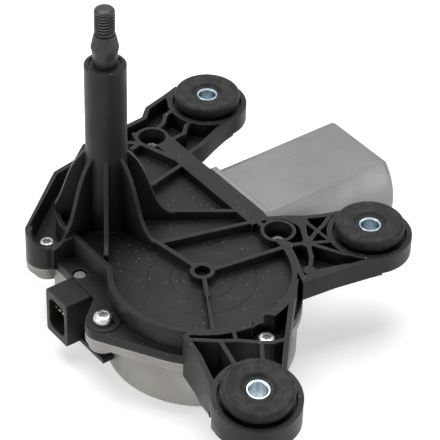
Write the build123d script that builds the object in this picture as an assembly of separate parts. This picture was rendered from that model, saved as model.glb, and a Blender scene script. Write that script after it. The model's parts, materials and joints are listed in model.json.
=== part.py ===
from build123d import *
import math
import os

os.makedirs("parts", exist_ok=True)

# ---------------------------------------------------------------------------
# Rear wiper motor: die-cast gearcase, ribbed plastic cover with the spindle
# tower and three rubber-mounted feet, flat-sided motor can on the side.
# Everything is drawn with z = 0 at the split between gearcase and cover,
# the spindle on the Z axis and the armature parallel to X, in millimetres.
# save() then moves each piece so that the origin is the foot of the thread.
# ---------------------------------------------------------------------------

# heights above the split plane
FLANGE_TOP = 3.2          # top of the cover's screw flange
DECK_TOP = 8.8            # floor between the cover's ribs
RIB_TOP = 13.0            # top of every rib and outer wall
ARM_BOTTOM = 4.4          # underside of the mounting arms
GROMMET_TOP = 18.5        # top of the rubber grommets
TOWER_TOP = 83.5          # mouth of the spindle tower
CONE_TOP = 91.1           # widest point of the spindle's knurled cone
THREAD_FOOT = 96.9        # where the M8 thread starts; the part's origin
SPINDLE_TIP = 108.0

# depths below the split plane
GEARCASE_BOTTOM = -23.0
GASKET_T = 0.8
CASE_TOP = -GASKET_T
CASE_FLANGE_T = 3.6
CASE_WALL = 3.0
CASE_FLOOR = 3.2

# plan position of the worm wheel and of the armature axis
WHEEL_X = 8.9
WHEEL_Y = -51.6
ARMATURE_Y = -15.8
ARMATURE_Z = -9.0

# cover
WALL = 2.0                # outer walls of the cover
RIB = 1.7                 # stiffening ribs
DECK_T = 2.4
ARM_FLOOR_T = 1.7
ARM_C_ROOT = -6.0         # underside of the third arm beside the gearcase
ROOT_WALL = 1.2           # arm pockets start this far outside the round wall
DOME_R = 36.4             # outer radius of the round wall over the wheel
FLANGE_RIM = 2.7          # flange width outside the round wall
BOSS_R = 4.8              # hollow boss over the wheel's axle
BOSS_HOLE_R = 3.1
TOWER_R = 8.15
TOWER_FOOT_R = 8.9
TOWER_RIBS = 8
TOWER_RIB_TOP = 43.0
TOWER_RIB_REACH = 27.0
BAR_INNER_X = 41.7        # thick cross wall beside the motor can
BAR_OUTER_X = 50.0
SOCKET_RIM_R = 16.8       # wall round each grommet
SOCKET_R = 14.6
PAD_TOP = 3.8             # screw seats, just above the flange
LOCATING_HOLE_R = 2.9
LOCATING_HOLE = (-24.0, -16.1)

# cover screws (M5, pan head)
SCREW_R = 2.5
SCREW_HEAD_R = 4.5
SCREW_HEAD_H = 2.9
SCREW_LENGTH = 15.0
SCREW_SLIP = 0.3          # radial play of a screw in the cover
LOBE_R = 7.0

# rubber mounts
FOOT_PLACES = [(77.3, 38.5), (76.7, -70.1), (-16.6, -119.6)]
FOOT_C_TILT = 10.0        # the third foot leans outwards
GROMMET_R = 13.75
GROMMET_HEAD_H = 4.6
GROMMET_WAIST_H = 3.2     # from the socket's floor to the underside of the head
GROMMET_MOUTH_R = 5.85
SLEEVE_OUTER_R = 4.6
SLEEVE_BORE_R = 3.5
SLEEVE_RECESS = 1.6
SLEEVE_LENGTH = 15.0
SLEEVE_FLANGE_R = 8.0
SLEEVE_FLANGE_T = 1.2
SOCKET_FLOOR_T = 3.0
SOCKET_HOLE_R = 8.4

# spindle and linkage
SPINDLE_R = 4.85
SPINDLE_CONE_R = 5.4
SPINDLE_TAPER_R = 4.25
THREAD_R = 4.0
THREAD_CHAMFER = 0.9
SPINDLE_STUB_R = 3.9      # pressed into the rocker arm
CRANK_R = 11.0            # throw of the crank pin and of the rocker arm
LINK_BOTTOM = -2.5
LINK_T = 3.0
LINK_GAP = 0.5            # axial air above and below the link
ROCKER_T = 3.5
PIN_R = 2.6
RUN_FIT = 0.04            # radial play of a running fit
EYE_WALL = 2.8
LINK_W = 8.0
WASHER_T = 0.8
WASHER_R = 7.6

# worm gear
WHEEL_TEETH = 50
GEAR_MODULE = 1.25
BACKLASH = 0.32
WHEEL_FACE = 9.0          # width of the toothed rim
WHEEL_WEB_T = 4.0
WHEEL_RIM_T = 4.0
WHEEL_HUB_R = 15.0
WHEEL_HUB_TOP = -4.0
AXLE_R = 3.5
WORM_TURNS = 5
WORM_COLLAR = 0.8
WHEEL_AIR = 0.9           # radial air round the wheel

# motor
SHAFT_R = 3.0
SHAFT_NOSE = -8.5
SHAFT_TAIL = 117.5
YOKE_R = 24.3             # round sides of the can
YOKE_HALF_H = 17.5        # flat top and bottom of the can
YOKE_WALL = 1.5
YOKE_FRONT = 55.0
YOKE_BACK = 116.0
YOKE_CORNER = 4.0
YOKE_LIP = 2.0
YOKE_LIP_T = 2.4
LIP_STEP = 0.7            # the gearcase's face stays inside the can's lip
BEARING_CUP_R = 8.0
BEARING_CUP_REACH = 4.0
EAR_R = 4.8
EAR_AIR = 0.6             # between a screw head and the round side of the can
YOKE_SCREW_R = 2.0
YOKE_SCREW_HEAD_R = 3.5
YOKE_SCREW_HEAD_H = 2.4
YOKE_SCREW_LENGTH = 9.0
EAR_REACH = YOKE_R + EAR_AIR + YOKE_SCREW_HEAD_R
MAGNET_T = 6.6
MAGNET_LENGTH = 36.0
MAGNET_ARC = 84.0
MAGNET_SEAT = 0.03
ROTOR_AIR = 0.77
CORE_R = YOKE_R - YOKE_WALL - MAGNET_SEAT - MAGNET_T - ROTOR_AIR
CORE_START = 78.0
CORE_LENGTH = 28.0
SLOTS = 8
SLOT_FOOT_R = 6.8
SLOT_TOP_R = CORE_R - 2.0
SLOT_MOUTH = 1.6
END_TURN_T = 5.5
END_TURN_R = CORE_R - 1.5
COMMUTATOR_R = 7.4
COMMUTATOR_HUB_R = 5.4
COMMUTATOR_START = 56.8
COMMUTATOR_LENGTH = 12.6
COMMUTATOR_GAP = 0.5
BEARING_R = 6.5
FRONT_BEARING_START = 42.0
FRONT_BEARING_LENGTH = 7.0
REAR_BEARING_LENGTH = 5.6
NOSE_BUSH_R = 5.0
NOSE_BUSH_LENGTH = 4.6
THRUST_PAD_R = 4.4
THRUST_PAD_T = 1.6
THRUST_AIR = 0.1
BRUSH_AXIAL = 5.0
BRUSH_ACROSS = 4.0
BRUSH_LENGTH = 7.0
BRUSH_BOX_WALL = 0.5
BRUSH_TURN = 45.0         # brush line, turned from the can's flats
BRUSH_AIR = 0.03
SPRING_R = 1.7
SPRING_WIRE = 0.5
SPRING_LENGTH = 4.2
SPRING_TURNS = 4
CARD_T = 2.0
CARD_START = 55.2
CARD_AIR = 0.25
CHOKE_R = 2.1
CHOKE_LENGTH = 10.0
CHOKE_REACH = 14.6

# connector on the gearcase's left side
PLUG_FACE_X = -39.0
CASE_LEFT_X = -27.5
PLUG_Y_LOW = -29.4
PLUG_Y_HIGH = -15.0
PLUG_BOTTOM = -18.0
PLUG_TOP = 2.6
SHELF_X = -33.0           # strip that runs back under the gearcase
SHELF_END_Y = -45.0
SHELF_T = 2.0
SOCKET_DEPTH = 9.0
SOCKET_WALL = 1.9
BLADE_PITCH = 2.6
BLADES = 4

# sensor board beside the linkage, and the bars that feed the brushes
BOARD_LOW = (-25.4, -32.0)
BOARD_HIGH = (-17.8, -2.0)
BOARD_BOTTOM = -8.0
BOARD_T = 1.6
BAR_W = 1.2
BAR_T = 0.8
BAR_PLACES = (-5.0, -2.6)

# spindle bushes and seal
BUSH_R = 6.4
BUSH_LENGTH = 11.0
SEAL_H = 2.2
SEAL_INSET = 0.8

# gearcase
CASE_R_OVER = 1.1         # gearcase pot outside the cover's round wall
AXLE_BOSS_R = 8.0
AXLE_WASHER_T = 0.8
CLIP_T = 0.8
LINK_FLOOR = -4.2
TUNNEL_R = 10.6
TUNNEL_BORE_R = 6.6
SHAFT_HOLE_R = 4.6
TUNNEL_NOSE = -14.0
FACE_PLATE_X = 50.3
PILOT_R = 2.1

# worked-out values
LINK_LENGTH = math.hypot(WHEEL_X, WHEEL_Y)
CRANK_TURN = math.degrees(math.atan2(-WHEEL_Y, -WHEEL_X)) + 90.0
WHEEL_PITCH_R = GEAR_MODULE * WHEEL_TEETH / 2
CENTRE_DISTANCE = ARMATURE_Y - WHEEL_Y
WORM_PITCH_R = CENTRE_DISTANCE - WHEEL_PITCH_R
WORM_LEAD = math.pi * GEAR_MODULE
LEAD_ANGLE = math.degrees(math.atan(WORM_LEAD / (2 * math.pi * WORM_PITCH_R)))
ADDENDUM = 0.9 * GEAR_MODULE
DEDENDUM = 1.1 * GEAR_MODULE
WORM_CORE_R = WORM_PITCH_R - DEDENDUM + 0.03
ROCKER_BOTTOM = LINK_BOTTOM + LINK_T + LINK_GAP
ROCKER_TOP = ROCKER_BOTTOM + ROCKER_T
TOWER_SEAT = ROCKER_TOP + WASHER_T + 0.1
DECK_UNDER = DECK_TOP - DECK_T
WHEEL_BOTTOM = ARMATURE_Z - WHEEL_FACE / 2
WHEEL_TOP = ARMATURE_Z + WHEEL_FACE / 2
CASE_R = DOME_R + CASE_R_OVER
YOKE_MOUTH = YOKE_FRONT - YOKE_LIP_T
LOWER_BUSH_TOP = TOWER_SEAT + BUSH_LENGTH
UPPER_BUSH_TOP = TOWER_TOP - SEAL_H - SEAL_INSET
UPPER_BUSH_FOOT = UPPER_BUSH_TOP - BUSH_LENGTH
BOARD_TOP = BOARD_BOTTOM + BOARD_T
TONGUE_LOW = BOARD_TOP - 1.4      # the connector's tongue, seen from its end
TONGUE_HIGH = BOARD_TOP + 2.6
SOCKET_FLOOR = GROMMET_TOP - GROMMET_HEAD_H - GROMMET_WAIST_H


def polar(radius, degrees):
    angle = math.radians(degrees)
    return (radius * math.cos(angle), radius * math.sin(angle))


WHEEL = (WHEEL_X, WHEEL_Y)
SPINDLE = (0.0, 0.0)
ROCKER_PIN = polar(CRANK_R, CRANK_TURN)
CRANK_PIN = (WHEEL_X + ROCKER_PIN[0], WHEEL_Y + ROCKER_PIN[1])
FOOT_A, FOOT_B, FOOT_C = FOOT_PLACES
S1 = (-26.0, 4.2)
S2 = (-32.6, -45.1)
S3 = (43.5, 31.0)
S4 = (48.0, ARMATURE_Y - EAR_REACH - 4.5)
S5 = (10.0, -91.0)
SCREW_PLACES = [S1, S2, S5, S4, S3]


def save(name, shape):
    export_step(Pos(0, 0, -THREAD_FOOT) * shape, f"parts/{name}.step")


def at(place):
    return Pos(place[0], place[1], 0)


def disc(place, radius):
    return at(place) * Circle(radius)


def patch(*points):
    return make_face(Polyline(*points, close=True))


def strip(points, width):
    """A wall of constant width along a chain of points."""
    walls = Sketch()
    for start, end in zip(points, points[1:]):
        run = (end[0] - start[0], end[1] - start[1])
        middle = ((start[0] + end[0]) / 2, (start[1] + end[1]) / 2)
        turn = math.degrees(math.atan2(run[1], run[0]))
        walls += at(middle) * Rot(0, 0, turn) * Rectangle(math.hypot(*run) + width, width)
    return walls


def prism(sketch, low, high):
    return Pos(0, 0, low) * extrude(sketch, high - low)


def rod(place, radius, low, high):
    return Pos(place[0], place[1], low) * Cylinder(
        radius, high - low, align=(Align.CENTER, Align.CENTER, Align.MIN)
    )


def block(low, high):
    size = [b - a for a, b in zip(low, high)]
    return Pos(*low) * Box(*size, align=(Align.MIN, Align.MIN, Align.MIN))


def along(x):
    """Local Z runs along the armature axis from here."""
    return Pos(x, ARMATURE_Y, ARMATURE_Z) * Rot(0, 90, 0)


def axial(radius, start, end, bore=0.0):
    """A round piece on the armature axis."""
    face = Circle(radius) - Circle(bore) if bore else Circle(radius)
    return along(start) * extrude(face, end - start)


def foot_frame(place):
    """Frame of a rubber mount: origin at the middle of its socket floor's top, Z up."""
    tilted = place == FOOT_C
    outward = math.degrees(math.atan2(FOOT_C[1] - WHEEL_Y, FOOT_C[0] - WHEEL_X))
    lean = Rot(0, 0, outward) * Rot(0, FOOT_C_TILT, 0) * Rot(0, 0, -outward)
    upright = Pos(place[0], place[1], SOCKET_FLOOR)
    return upright * lean if tilted else upright


# ---------------------------------------------------------------------------
# housing outlines
# ---------------------------------------------------------------------------
def hull(*circles):
    """Convex outline round some circles given as (place, radius)."""
    edges = [disc(place, radius).edges() for place, radius in circles]
    return make_hull([edge for group in edges for edge in group])


def flange_outline():
    body = patch(
        (CASE_LEFT_X, -36), (CASE_LEFT_X, -3), (-32.6, 9.5), (-3, 34), (8, 36), (17, 43),
        (37, 44), (BAR_OUTER_X, 34), (BAR_OUTER_X, -46), (30, -60),
    )
    rim = DOME_R + FLANGE_RIM
    outline = body + disc(WHEEL, rim)
    outline += hull((S2, LOBE_R), (WHEEL, rim))
    outline += hull((S5, LOBE_R), (WHEEL, DOME_R - 6))
    outline += disc(S1, LOBE_R + 1.3) + disc(S4, LOBE_R + 1) + disc(S3, LOBE_R + 1)
    return outline


def deck_outline():
    """The raised part of the cover: over the wheel, the link and the spindle."""
    body = patch(
        (-20, -30), (-20, -5), (-14.5, 14.5), (0, 20.5), (18, 27), (36, 31), (38, 38),
        (BAR_OUTER_X, 34), (BAR_OUTER_X, -46), (40, -60), (10, -60),
    )
    return body + disc(WHEEL, DOME_R) + disc(SPINDLE, 20.5)


def wheel_room():
    return disc(WHEEL, WHEEL_PITCH_R + ADDENDUM + WHEEL_AIR)


def link_room():
    """Plan of the space that the rocker arm and the link sweep."""
    reach = CRANK_R + PIN_R + EYE_WALL + 1.1
    corridor = patch((-reach, 0), (-reach, -30), (-12, -60), (8, -60), (8, 0))
    return disc(SPINDLE, reach) + corridor


def arm_a_outline():
    web = patch(
        (17, 43), (37, 44), (48, 45), (53.5, 50), (65, 53), (73, 55.5), FOOT_A,
        (79, 21.8), (74, 20.6), (66, 17.6), (58, 14.2), (BAR_OUTER_X, 12.4), (BAR_INNER_X, 12.4),
        (36, 30),
    )
    return web + disc(FOOT_A, SOCKET_RIM_R)


def arm_b_outline():
    web = patch(
        (44, -37), (BAR_OUTER_X, -39.3), (56, -42.6), (62, -47), (69, -50.4), (78, -53.4), FOOT_B,
        (73, -86.4), (66, -84.6), (51, -81.6), (36, -79.8), (38, -74), (43, -62),
    )
    return web + disc(FOOT_B, SOCKET_RIM_R)


def arm_c_outline():
    web = patch(
        (-19.5, -78), (-22, -90), (-26.5, -104), (-32.6, -115), FOOT_C, (0.4, -115),
        (10.6, -103.6), (24, -89), (36, -77), (8, -70),
    )
    return web + disc(FOOT_C, SOCKET_RIM_R)


# ---------------------------------------------------------------------------
# cover
# ---------------------------------------------------------------------------
def tower_rib():
    """One flaring web: hugs the tower at the top, sweeps out to the deck below."""
    profile = make_face(
        Polyline((6.5, DECK_UNDER), (6.5, TOWER_RIB_TOP), (TOWER_R, TOWER_RIB_TOP))
        + Spline(
            (TOWER_R, TOWER_RIB_TOP), (15.6, 30.5), (18.2, 22.5), (21.5, 15.8),
            (TOWER_RIB_REACH, RIB_TOP - 0.6),
        )
        + Polyline((TOWER_RIB_REACH, RIB_TOP - 0.6), (TOWER_RIB_REACH, DECK_UNDER),
                   (6.5, DECK_UNDER))
    )
    return extrude(Plane.XZ * profile, RIB / 2, both=True)


def tower():
    core = rod(SPINDLE, TOWER_R, DECK_UNDER, TOWER_TOP)
    foot_height = TOWER_RIB_TOP - DECK_UNDER
    foot = Pos(0, 0, DECK_UNDER + foot_height / 2) * Cone(TOWER_FOOT_R, TOWER_R, foot_height)
    towards_boss = math.degrees(math.atan2(WHEEL_Y, WHEEL_X))
    ribs = Part()
    for k in range(TOWER_RIBS):
        ribs += Rot(0, 0, towards_boss + k * 360 / TOWER_RIBS) * tower_rib()
    edge = chamfer((core + foot).edges().sort_by(Axis.Z)[-1], 0.5)
    return edge + ribs


def deck_ribs():
    """Ribs on the deck, all the same height."""
    return (
        strip([(4.6, -24), (8.0, -46)], RIB)
        + strip([(20, -13.6), (BAR_INNER_X + 1, -29.3)], RIB)
        + strip([(24, 4.3), (BAR_INNER_X + 1, 8.4)], RIB)
        + strip([(6.0, -28.2), (44, -38.6)], RIB)
        + strip([(13.5, -53.4), (44, -58.2)], RIB)
        + strip([(6.6, -56), (-8.6, -82.6)], RIB)
        + strip([(30, 30), (38, 30.4)], RIB)
    )


def arm_a_ribs():
    """Ribs and solid corners of the arm beside the motor can's far side."""
    ribs = (
        strip([(49, 34.6), (53, 36.4), (57.3, 40.6), (61.5, 41.8)], RIB)
        + strip([(66.3, 52.6), (61.9, 42), (62.6, 35), (63.6, 31.2), (71.6, 24.4), (80, 23)], RIB)
        + strip([(48, 24.8), (56, 25.6), (60, 29.6), (63.6, 31.2)], RIB)
    )
    corner = patch((BAR_INNER_X, 12), (50.4, 12), (50.4, 24.4), (BAR_INNER_X, 24.4))
    return ribs + (corner - disc((50.4, 19.3), 4.4))


def arm_b_ribs():
    """Ribs fan out from one knot; the corner next to the bar is solid."""
    knot = (52.7, -61.5)
    ribs = (
        strip([(45.2, -58), knot], RIB)
        + strip([knot, (59.6, -58), (64.5, -56.3), (71, -52.8)], RIB)
        + strip([(60.3, -50), (60.7, -65)], RIB - 0.4)
        + strip([knot, (57.5, -64.2), (62, -66.4)], RIB - 0.2)
        + strip([knot, (57.3, -70), (59.8, -74.6), (67, -81.6)], RIB - 0.2)
        + strip([knot, (48.5, -69), (43, -75)], RIB)
        + disc(knot, 2.4)
        + disc((45.2, -58), 2.3)
        + disc((42.8, -75), 2.4)
    )
    corner = patch(
        (46, -36), (56, -42), (62.4, -46.6), (61.1, -52), (59, -52.3), (55.7, -57.3), (55.2, -61),
        (51.6, -60.4), (55.6, -53), (56.3, -50.6), (54.6, -44.4), (50, -41),
    )
    root = patch((36, -76.8), (45, -76.4), (56, -79.8), (60.4, -82.4), (60, -86), (34, -82))
    return ribs + corner + root


def arm_c_ribs():
    return (
        strip([(-18, -81.6), (-9.7, -88.3), (-4.5, -91.6), (2, -97.6), (5.5, -100), (12, -102)], RIB)
        + strip([(-2.4, -86.6), (-4.6, -91)], RIB - 0.3)
        + strip([(-9.8, -88.6), (-13.2, -102)], RIB)
        + strip([(2, -98), (-3.4, -105.6)], RIB)
    )


def arm(outline, ribs, low):
    """An arm open at the top: thin floor, outer wall, ribs, and a root wall round the wheel's dome."""
    pockets = offset(outline, -WALL) - ribs - disc(WHEEL, DOME_R + ROOT_WALL)
    return prism(outline, low, RIB_TOP) - prism(pockets, low + ARM_FLOOR_T, RIB_TOP + 1)


def socket(frame):
    """Cup for a grommet: a floor with a hole and a wall round it, in the foot's frame."""
    floor = prism(Circle(SOCKET_RIM_R), -SOCKET_FLOOR_T, 0)
    rim_height = RIB_TOP - SOCKET_FLOOR
    rim = prism(Circle(SOCKET_RIM_R) - Circle(SOCKET_R), -SOCKET_FLOOR_T - 2.4, rim_height)
    return frame * (floor + rim)


def socket_cut(frame):
    pocket = prism(Circle(SOCKET_R), 0, 30) + prism(Circle(SOCKET_HOLE_R), -40, 1)
    below = prism(Circle(SOCKET_R), -40, -SOCKET_FLOOR_T)
    return frame * (pocket + below)


def foot_c_arm():
    """The third arm is deeper at its root and tapers up to the foot."""
    deep = arm(arm_c_outline(), arm_c_ribs(), ARM_C_ROOT)
    foot_low = ARM_BOTTOM - 3
    wedge = Plane.YZ * patch(
        (-95, -30), (-95, ARM_C_ROOT - 0.1), (-116, foot_low), (-142, foot_low), (-142, -30)
    )
    return deep - extrude(wedge, 60, both=True)


def well(place, low=PAD_TOP):
    """Wall of a sunk screw seat."""
    return prism(disc(place, LOBE_R), low, RIB_TOP)


def cover():
    deck = deck_outline()
    inside = offset(deck, -WALL)
    body = prism(flange_outline(), 0, FLANGE_TOP)
    body += prism(deck, 0, DECK_TOP) + prism(deck - inside, DECK_TOP, RIB_TOP)
    body += prism(deck_ribs() & deck, DECK_TOP - 0.5, RIB_TOP)
    bar = patch((BAR_INNER_X, -40), (BAR_INNER_X, 27), (BAR_OUTER_X, 27), (BAR_OUTER_X, -40))
    body += prism(bar, 0, RIB_TOP)
    outer_wall = strip([(-31.6, 10), (-3, 33), (8, 35), (17.4, 42), (38, 43)], WALL)
    body += prism(outer_wall & flange_outline(), 0, RIB_TOP)
    body += prism(strip([(-28, -4.4), (-20, -5.4)], WALL), 0, RIB_TOP)
    body += prism(disc(WHEEL, BOSS_R), DECK_UNDER, RIB_TOP)

    body += arm(arm_a_outline(), arm_a_ribs(), ARM_BOTTOM)
    body += arm(arm_b_outline(), arm_b_ribs(), ARM_BOTTOM)
    body += foot_c_arm()

    body += tower()
    for place in SCREW_PLACES:
        body += rod(place, LOBE_R - 0.5, 0, PAD_TOP)
    for place in (S3, S4):
        body += well(place, 0)
    body += prism(disc(S1, LOBE_R + 1.3) & patch((-40, 20), (-40, -20), (-22, -20), (-30, 20)), 0, RIB_TOP)

    for place in FOOT_PLACES:
        body -= foot_frame(place) * prism(Circle(SOCKET_RIM_R), -14, 30)
        body += socket(foot_frame(place))
    for place in FOOT_PLACES:
        body -= socket_cut(foot_frame(place))

    # the deep root of the third arm stands clear of the gearcase
    beside = 0.4
    body -= prism(disc(WHEEL, DOME_R + FLANGE_RIM + beside), -20, 0)
    body -= prism(hull((S5, LOBE_R + beside), (WHEEL, DOME_R - 6)), -20, 0)
    body -= prism(hull((S2, LOBE_R + beside), (WHEEL, DOME_R + FLANGE_RIM + beside)), -20, 0)

    # room for the wheel, the link and the rocker under the deck
    body -= prism(wheel_room() + link_room(), -1, DECK_UNDER)
    body += rod(SPINDLE, TOWER_FOOT_R, TOWER_SEAT, DECK_TOP)
    body -= rod(WHEEL, BOSS_HOLE_R, DECK_TOP, RIB_TOP + 1)

    # spindle bore with a seat for a bush at each end
    body -= rod(SPINDLE, SPINDLE_R + 0.5, 0, TOWER_TOP + 1)
    body -= rod(SPINDLE, BUSH_R, TOWER_SEAT - 1, LOWER_BUSH_TOP)
    body -= rod(SPINDLE, BUSH_R, UPPER_BUSH_FOOT, TOWER_TOP + 1)

    for place in SCREW_PLACES:
        body -= rod(place, SCREW_HEAD_R + 1.2, PAD_TOP, RIB_TOP + 1)
        body -= rod(place, SCREW_R + SCREW_SLIP, -20, PAD_TOP + 1)
    body -= rod(LOCATING_HOLE, LOCATING_HOLE_R, -1, FLANGE_TOP + 1)
    return body



# ---------------------------------------------------------------------------
# gearcase and gasket
# ---------------------------------------------------------------------------
def yoke_profile(radius, half_height):
    """Round sides, flat top and bottom; local X is down, local Y is across."""
    return Circle(radius) & Rectangle(2 * half_height, 2 * radius + 1)


def ear_places():
    return [(0, EAR_REACH), (0, -EAR_REACH)]


def lip_profile(reach):
    lip = yoke_profile(YOKE_R + reach, YOKE_HALF_H + reach)
    for place in ear_places():
        lip += disc(place, EAR_R) + at((0, place[1] * 0.8)) * Rectangle(2 * EAR_R, 12)
    return lip


def gearcase():
    body = prism(flange_outline(), CASE_TOP - CASE_FLANGE_T, CASE_TOP)
    body += rod(WHEEL, CASE_R, GEARCASE_BOTTOM, CASE_TOP)
    link_box = patch((-20.6, -50), (-20.6, 0), (-14, 18), (0, 21), (20, 18), (20, -40))
    body += prism(link_box, BOARD_BOTTOM - CASE_WALL, CASE_TOP)
    board_box = patch(
        (CASE_LEFT_X, -36), (CASE_LEFT_X, -3), (-24, 0), (-14, 0), (-14, -36)
    )
    body += prism(board_box, PLUG_BOTTOM, CASE_TOP)
    body += axial(TUNNEL_R, TUNNEL_NOSE, FACE_PLATE_X)
    neck = block((24, ARMATURE_Y - 13, ARMATURE_Z - 13), (FACE_PLATE_X, ARMATURE_Y + 16, CASE_TOP))
    body += neck
    web = block((42, ARMATURE_Y - EAR_REACH, ARMATURE_Z - 4), (FACE_PLATE_X, ARMATURE_Y + EAR_REACH, ARMATURE_Z + 4))
    body += web
    for place in SCREW_PLACES:
        body += rod(place, LOBE_R - 1.2, CASE_TOP - SCREW_LENGTH, CASE_TOP)
    body -= block((-60, -120, CASE_TOP), (FACE_PLATE_X, 60, 20))
    body -= block((FACE_PLATE_X, -120, -60), (80, 60, 20))
    body += along(FACE_PLATE_X) * extrude(lip_profile(YOKE_LIP - LIP_STEP), YOKE_MOUTH - FACE_PLATE_X)
    body += prism(disc(S4, LOBE_R - 1.2) & patch((40, -60), (40, -40), (YOKE_MOUTH, -40), (YOKE_MOUTH, -60)),
                  CASE_TOP - SCREW_LENGTH, CASE_TOP)
    for place in ear_places():
        body += along(FACE_PLATE_X - 6) * prism(disc(place, EAR_R), 0, 7)

    # the pot for the wheel, with its axle boss
    body -= prism(wheel_room(), GEARCASE_BOTTOM + CASE_FLOOR, 1)
    body += rod(WHEEL, AXLE_BOSS_R, GEARCASE_BOTTOM, WHEEL_BOTTOM - AXLE_WASHER_T)
    body -= rod(WHEEL, AXLE_R, GEARCASE_BOTTOM + 2, 0)
    body -= prism(link_room(), LINK_FLOOR, 1)

    # armature tunnel
    body -= axial(TUNNEL_BORE_R, SHAFT_NOSE + 0.5 + NOSE_BUSH_LENGTH, 26)
    body -= axial(SHAFT_HOLE_R, 20, YOKE_FRONT)
    body -= axial(BEARING_R, FRONT_BEARING_START, YOKE_FRONT)
    body -= axial(NOSE_BUSH_R, SHAFT_NOSE - THRUST_AIR - THRUST_PAD_T, SHAFT_NOSE + 1 + NOSE_BUSH_LENGTH)

    # board pocket, the channel for the bars and the slot for the connector
    body -= block((*BOARD_LOW, BOARD_BOTTOM), (*BOARD_HIGH, 1))
    body -= block((BOARD_HIGH[0] - 1, BAR_PLACES[0] - 1.6, BOARD_BOTTOM), (YOKE_FRONT, BAR_PLACES[1] + 1.2, LINK_FLOOR))
    body -= block((CASE_LEFT_X - 1, PLUG_Y_LOW + 1.4, TONGUE_LOW), (BOARD_LOW[0] + 1, PLUG_Y_HIGH - 1.4, TONGUE_HIGH))

    for place in SCREW_PLACES:
        body -= rod(place, PILOT_R, CASE_TOP - SCREW_LENGTH + 1.5, 1)
    for place in ear_places():
        body -= along(YOKE_FRONT - YOKE_SCREW_LENGTH - 0.5) * prism(disc(place, YOKE_SCREW_R), 0, 20)
    return body


def gasket():
    plan = flange_outline() - wheel_room() - link_room()
    plan -= patch(BOARD_LOW, (BOARD_HIGH[0], BOARD_LOW[1]), BOARD_HIGH, (BOARD_LOW[0], BOARD_HIGH[1]))
    for place in SCREW_PLACES:
        plan -= disc(place, SCREW_R + SCREW_SLIP)
    plan -= disc(LOCATING_HOLE, LOCATING_HOLE_R)
    return prism(plan, CASE_TOP, 0)


def cover_screws():
    screws = []
    for place in SCREW_PLACES:
        shank = rod(place, PILOT_R - 0.02, PAD_TOP - SCREW_LENGTH, PAD_TOP)
        head = rod(place, SCREW_HEAD_R, PAD_TOP, PAD_TOP + SCREW_HEAD_H)
        head = fillet(head.edges().sort_by(Axis.Z)[-1], 1.2)
        screws.append(shank + head)
    return Compound(screws)


# ---------------------------------------------------------------------------
# rubber mounts
# ---------------------------------------------------------------------------
def grommet():
    """In the foot's frame: z = 0 is the top of the socket floor."""
    head_foot = GROMMET_WAIST_H
    head_top = head_foot + GROMMET_HEAD_H
    sleeve_top = head_top - SLEEVE_RECESS
    lower = -SOCKET_FLOOR_T
    foot = sleeve_top - SLEEVE_LENGTH + SLEEVE_FLANGE_T
    profile = patch(
        (SLEEVE_OUTER_R, foot), (12.4, foot), (12.4, lower), (SOCKET_HOLE_R - 0.05, lower),
        (SOCKET_HOLE_R - 0.05, 0), (10.8, 0), (10.8, head_foot), (GROMMET_R, head_foot),
        (GROMMET_R, head_top), (GROMMET_MOUTH_R, head_top), (GROMMET_MOUTH_R, sleeve_top),
        (SLEEVE_OUTER_R, sleeve_top),
    )
    solid = revolve(Plane.XZ * profile, Axis.Z)
    rims = solid.edges().filter_by(GeomType.CIRCLE).filter_by(
        lambda e: abs(e.radius - GROMMET_R) < 0.01
    )
    return fillet(rims, 1.1)


def sleeve():
    top = GROMMET_WAIST_H + GROMMET_HEAD_H - SLEEVE_RECESS
    foot = top - SLEEVE_LENGTH
    tube = prism(Circle(SLEEVE_OUTER_R) - Circle(SLEEVE_BORE_R), foot, top)
    flange = prism(Circle(SLEEVE_FLANGE_R) - Circle(SLEEVE_BORE_R), foot, foot + SLEEVE_FLANGE_T)
    return tube + flange


# ---------------------------------------------------------------------------
# spindle, rocker, link
# ---------------------------------------------------------------------------
def spindle():
    stub_foot = ROCKER_BOTTOM - 0.3
    profile = patch(
        (0, stub_foot), (SPINDLE_STUB_R, stub_foot), (SPINDLE_STUB_R, ROCKER_TOP), (SPINDLE_R, ROCKER_TOP),
        (SPINDLE_R, CONE_TOP - 3.4), (SPINDLE_CONE_R, CONE_TOP), (SPINDLE_TAPER_R, THREAD_FOOT),
        (THREAD_R, THREAD_FOOT), (THREAD_R, SPINDLE_TIP - THREAD_CHAMFER),
        (THREAD_R - THREAD_CHAMFER, SPINDLE_TIP), (0, SPINDLE_TIP),
    )
    return revolve(Plane.XZ * profile, Axis.Z)


def rocker_arm():
    plan = hull((SPINDLE, 7.2), (ROCKER_PIN, PIN_R + EYE_WALL))
    plan -= disc(SPINDLE, SPINDLE_STUB_R) + disc(ROCKER_PIN, PIN_R)
    return prism(plan, ROCKER_BOTTOM, ROCKER_TOP)


def rocker_pin():
    head_t = 0.9
    return rod(ROCKER_PIN, PIN_R, LINK_BOTTOM - head_t, ROCKER_TOP) + rod(
        ROCKER_PIN, PIN_R + 1.5, LINK_BOTTOM - 0.1 - head_t, LINK_BOTTOM - 0.1
    )


def link():
    eye_r = PIN_R + RUN_FIT + EYE_WALL
    plan = disc(ROCKER_PIN, eye_r) + disc(CRANK_PIN, eye_r)
    run = (CRANK_PIN[0] - ROCKER_PIN[0], CRANK_PIN[1] - ROCKER_PIN[1])
    middle = at((ROCKER_PIN[0] + run[0] / 2, ROCKER_PIN[1] + run[1] / 2)) * Rot(
        0, 0, math.degrees(math.atan2(run[1], run[0]))
    )
    plan += middle * Rectangle(LINK_LENGTH, LINK_W)
    plan -= middle * SlotOverall(LINK_LENGTH * 0.5, LINK_W * 0.35)
    plan -= disc(ROCKER_PIN, PIN_R + RUN_FIT) + disc(CRANK_PIN, PIN_R + RUN_FIT)
    return prism(plan, LINK_BOTTOM, LINK_BOTTOM + LINK_T)


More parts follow.
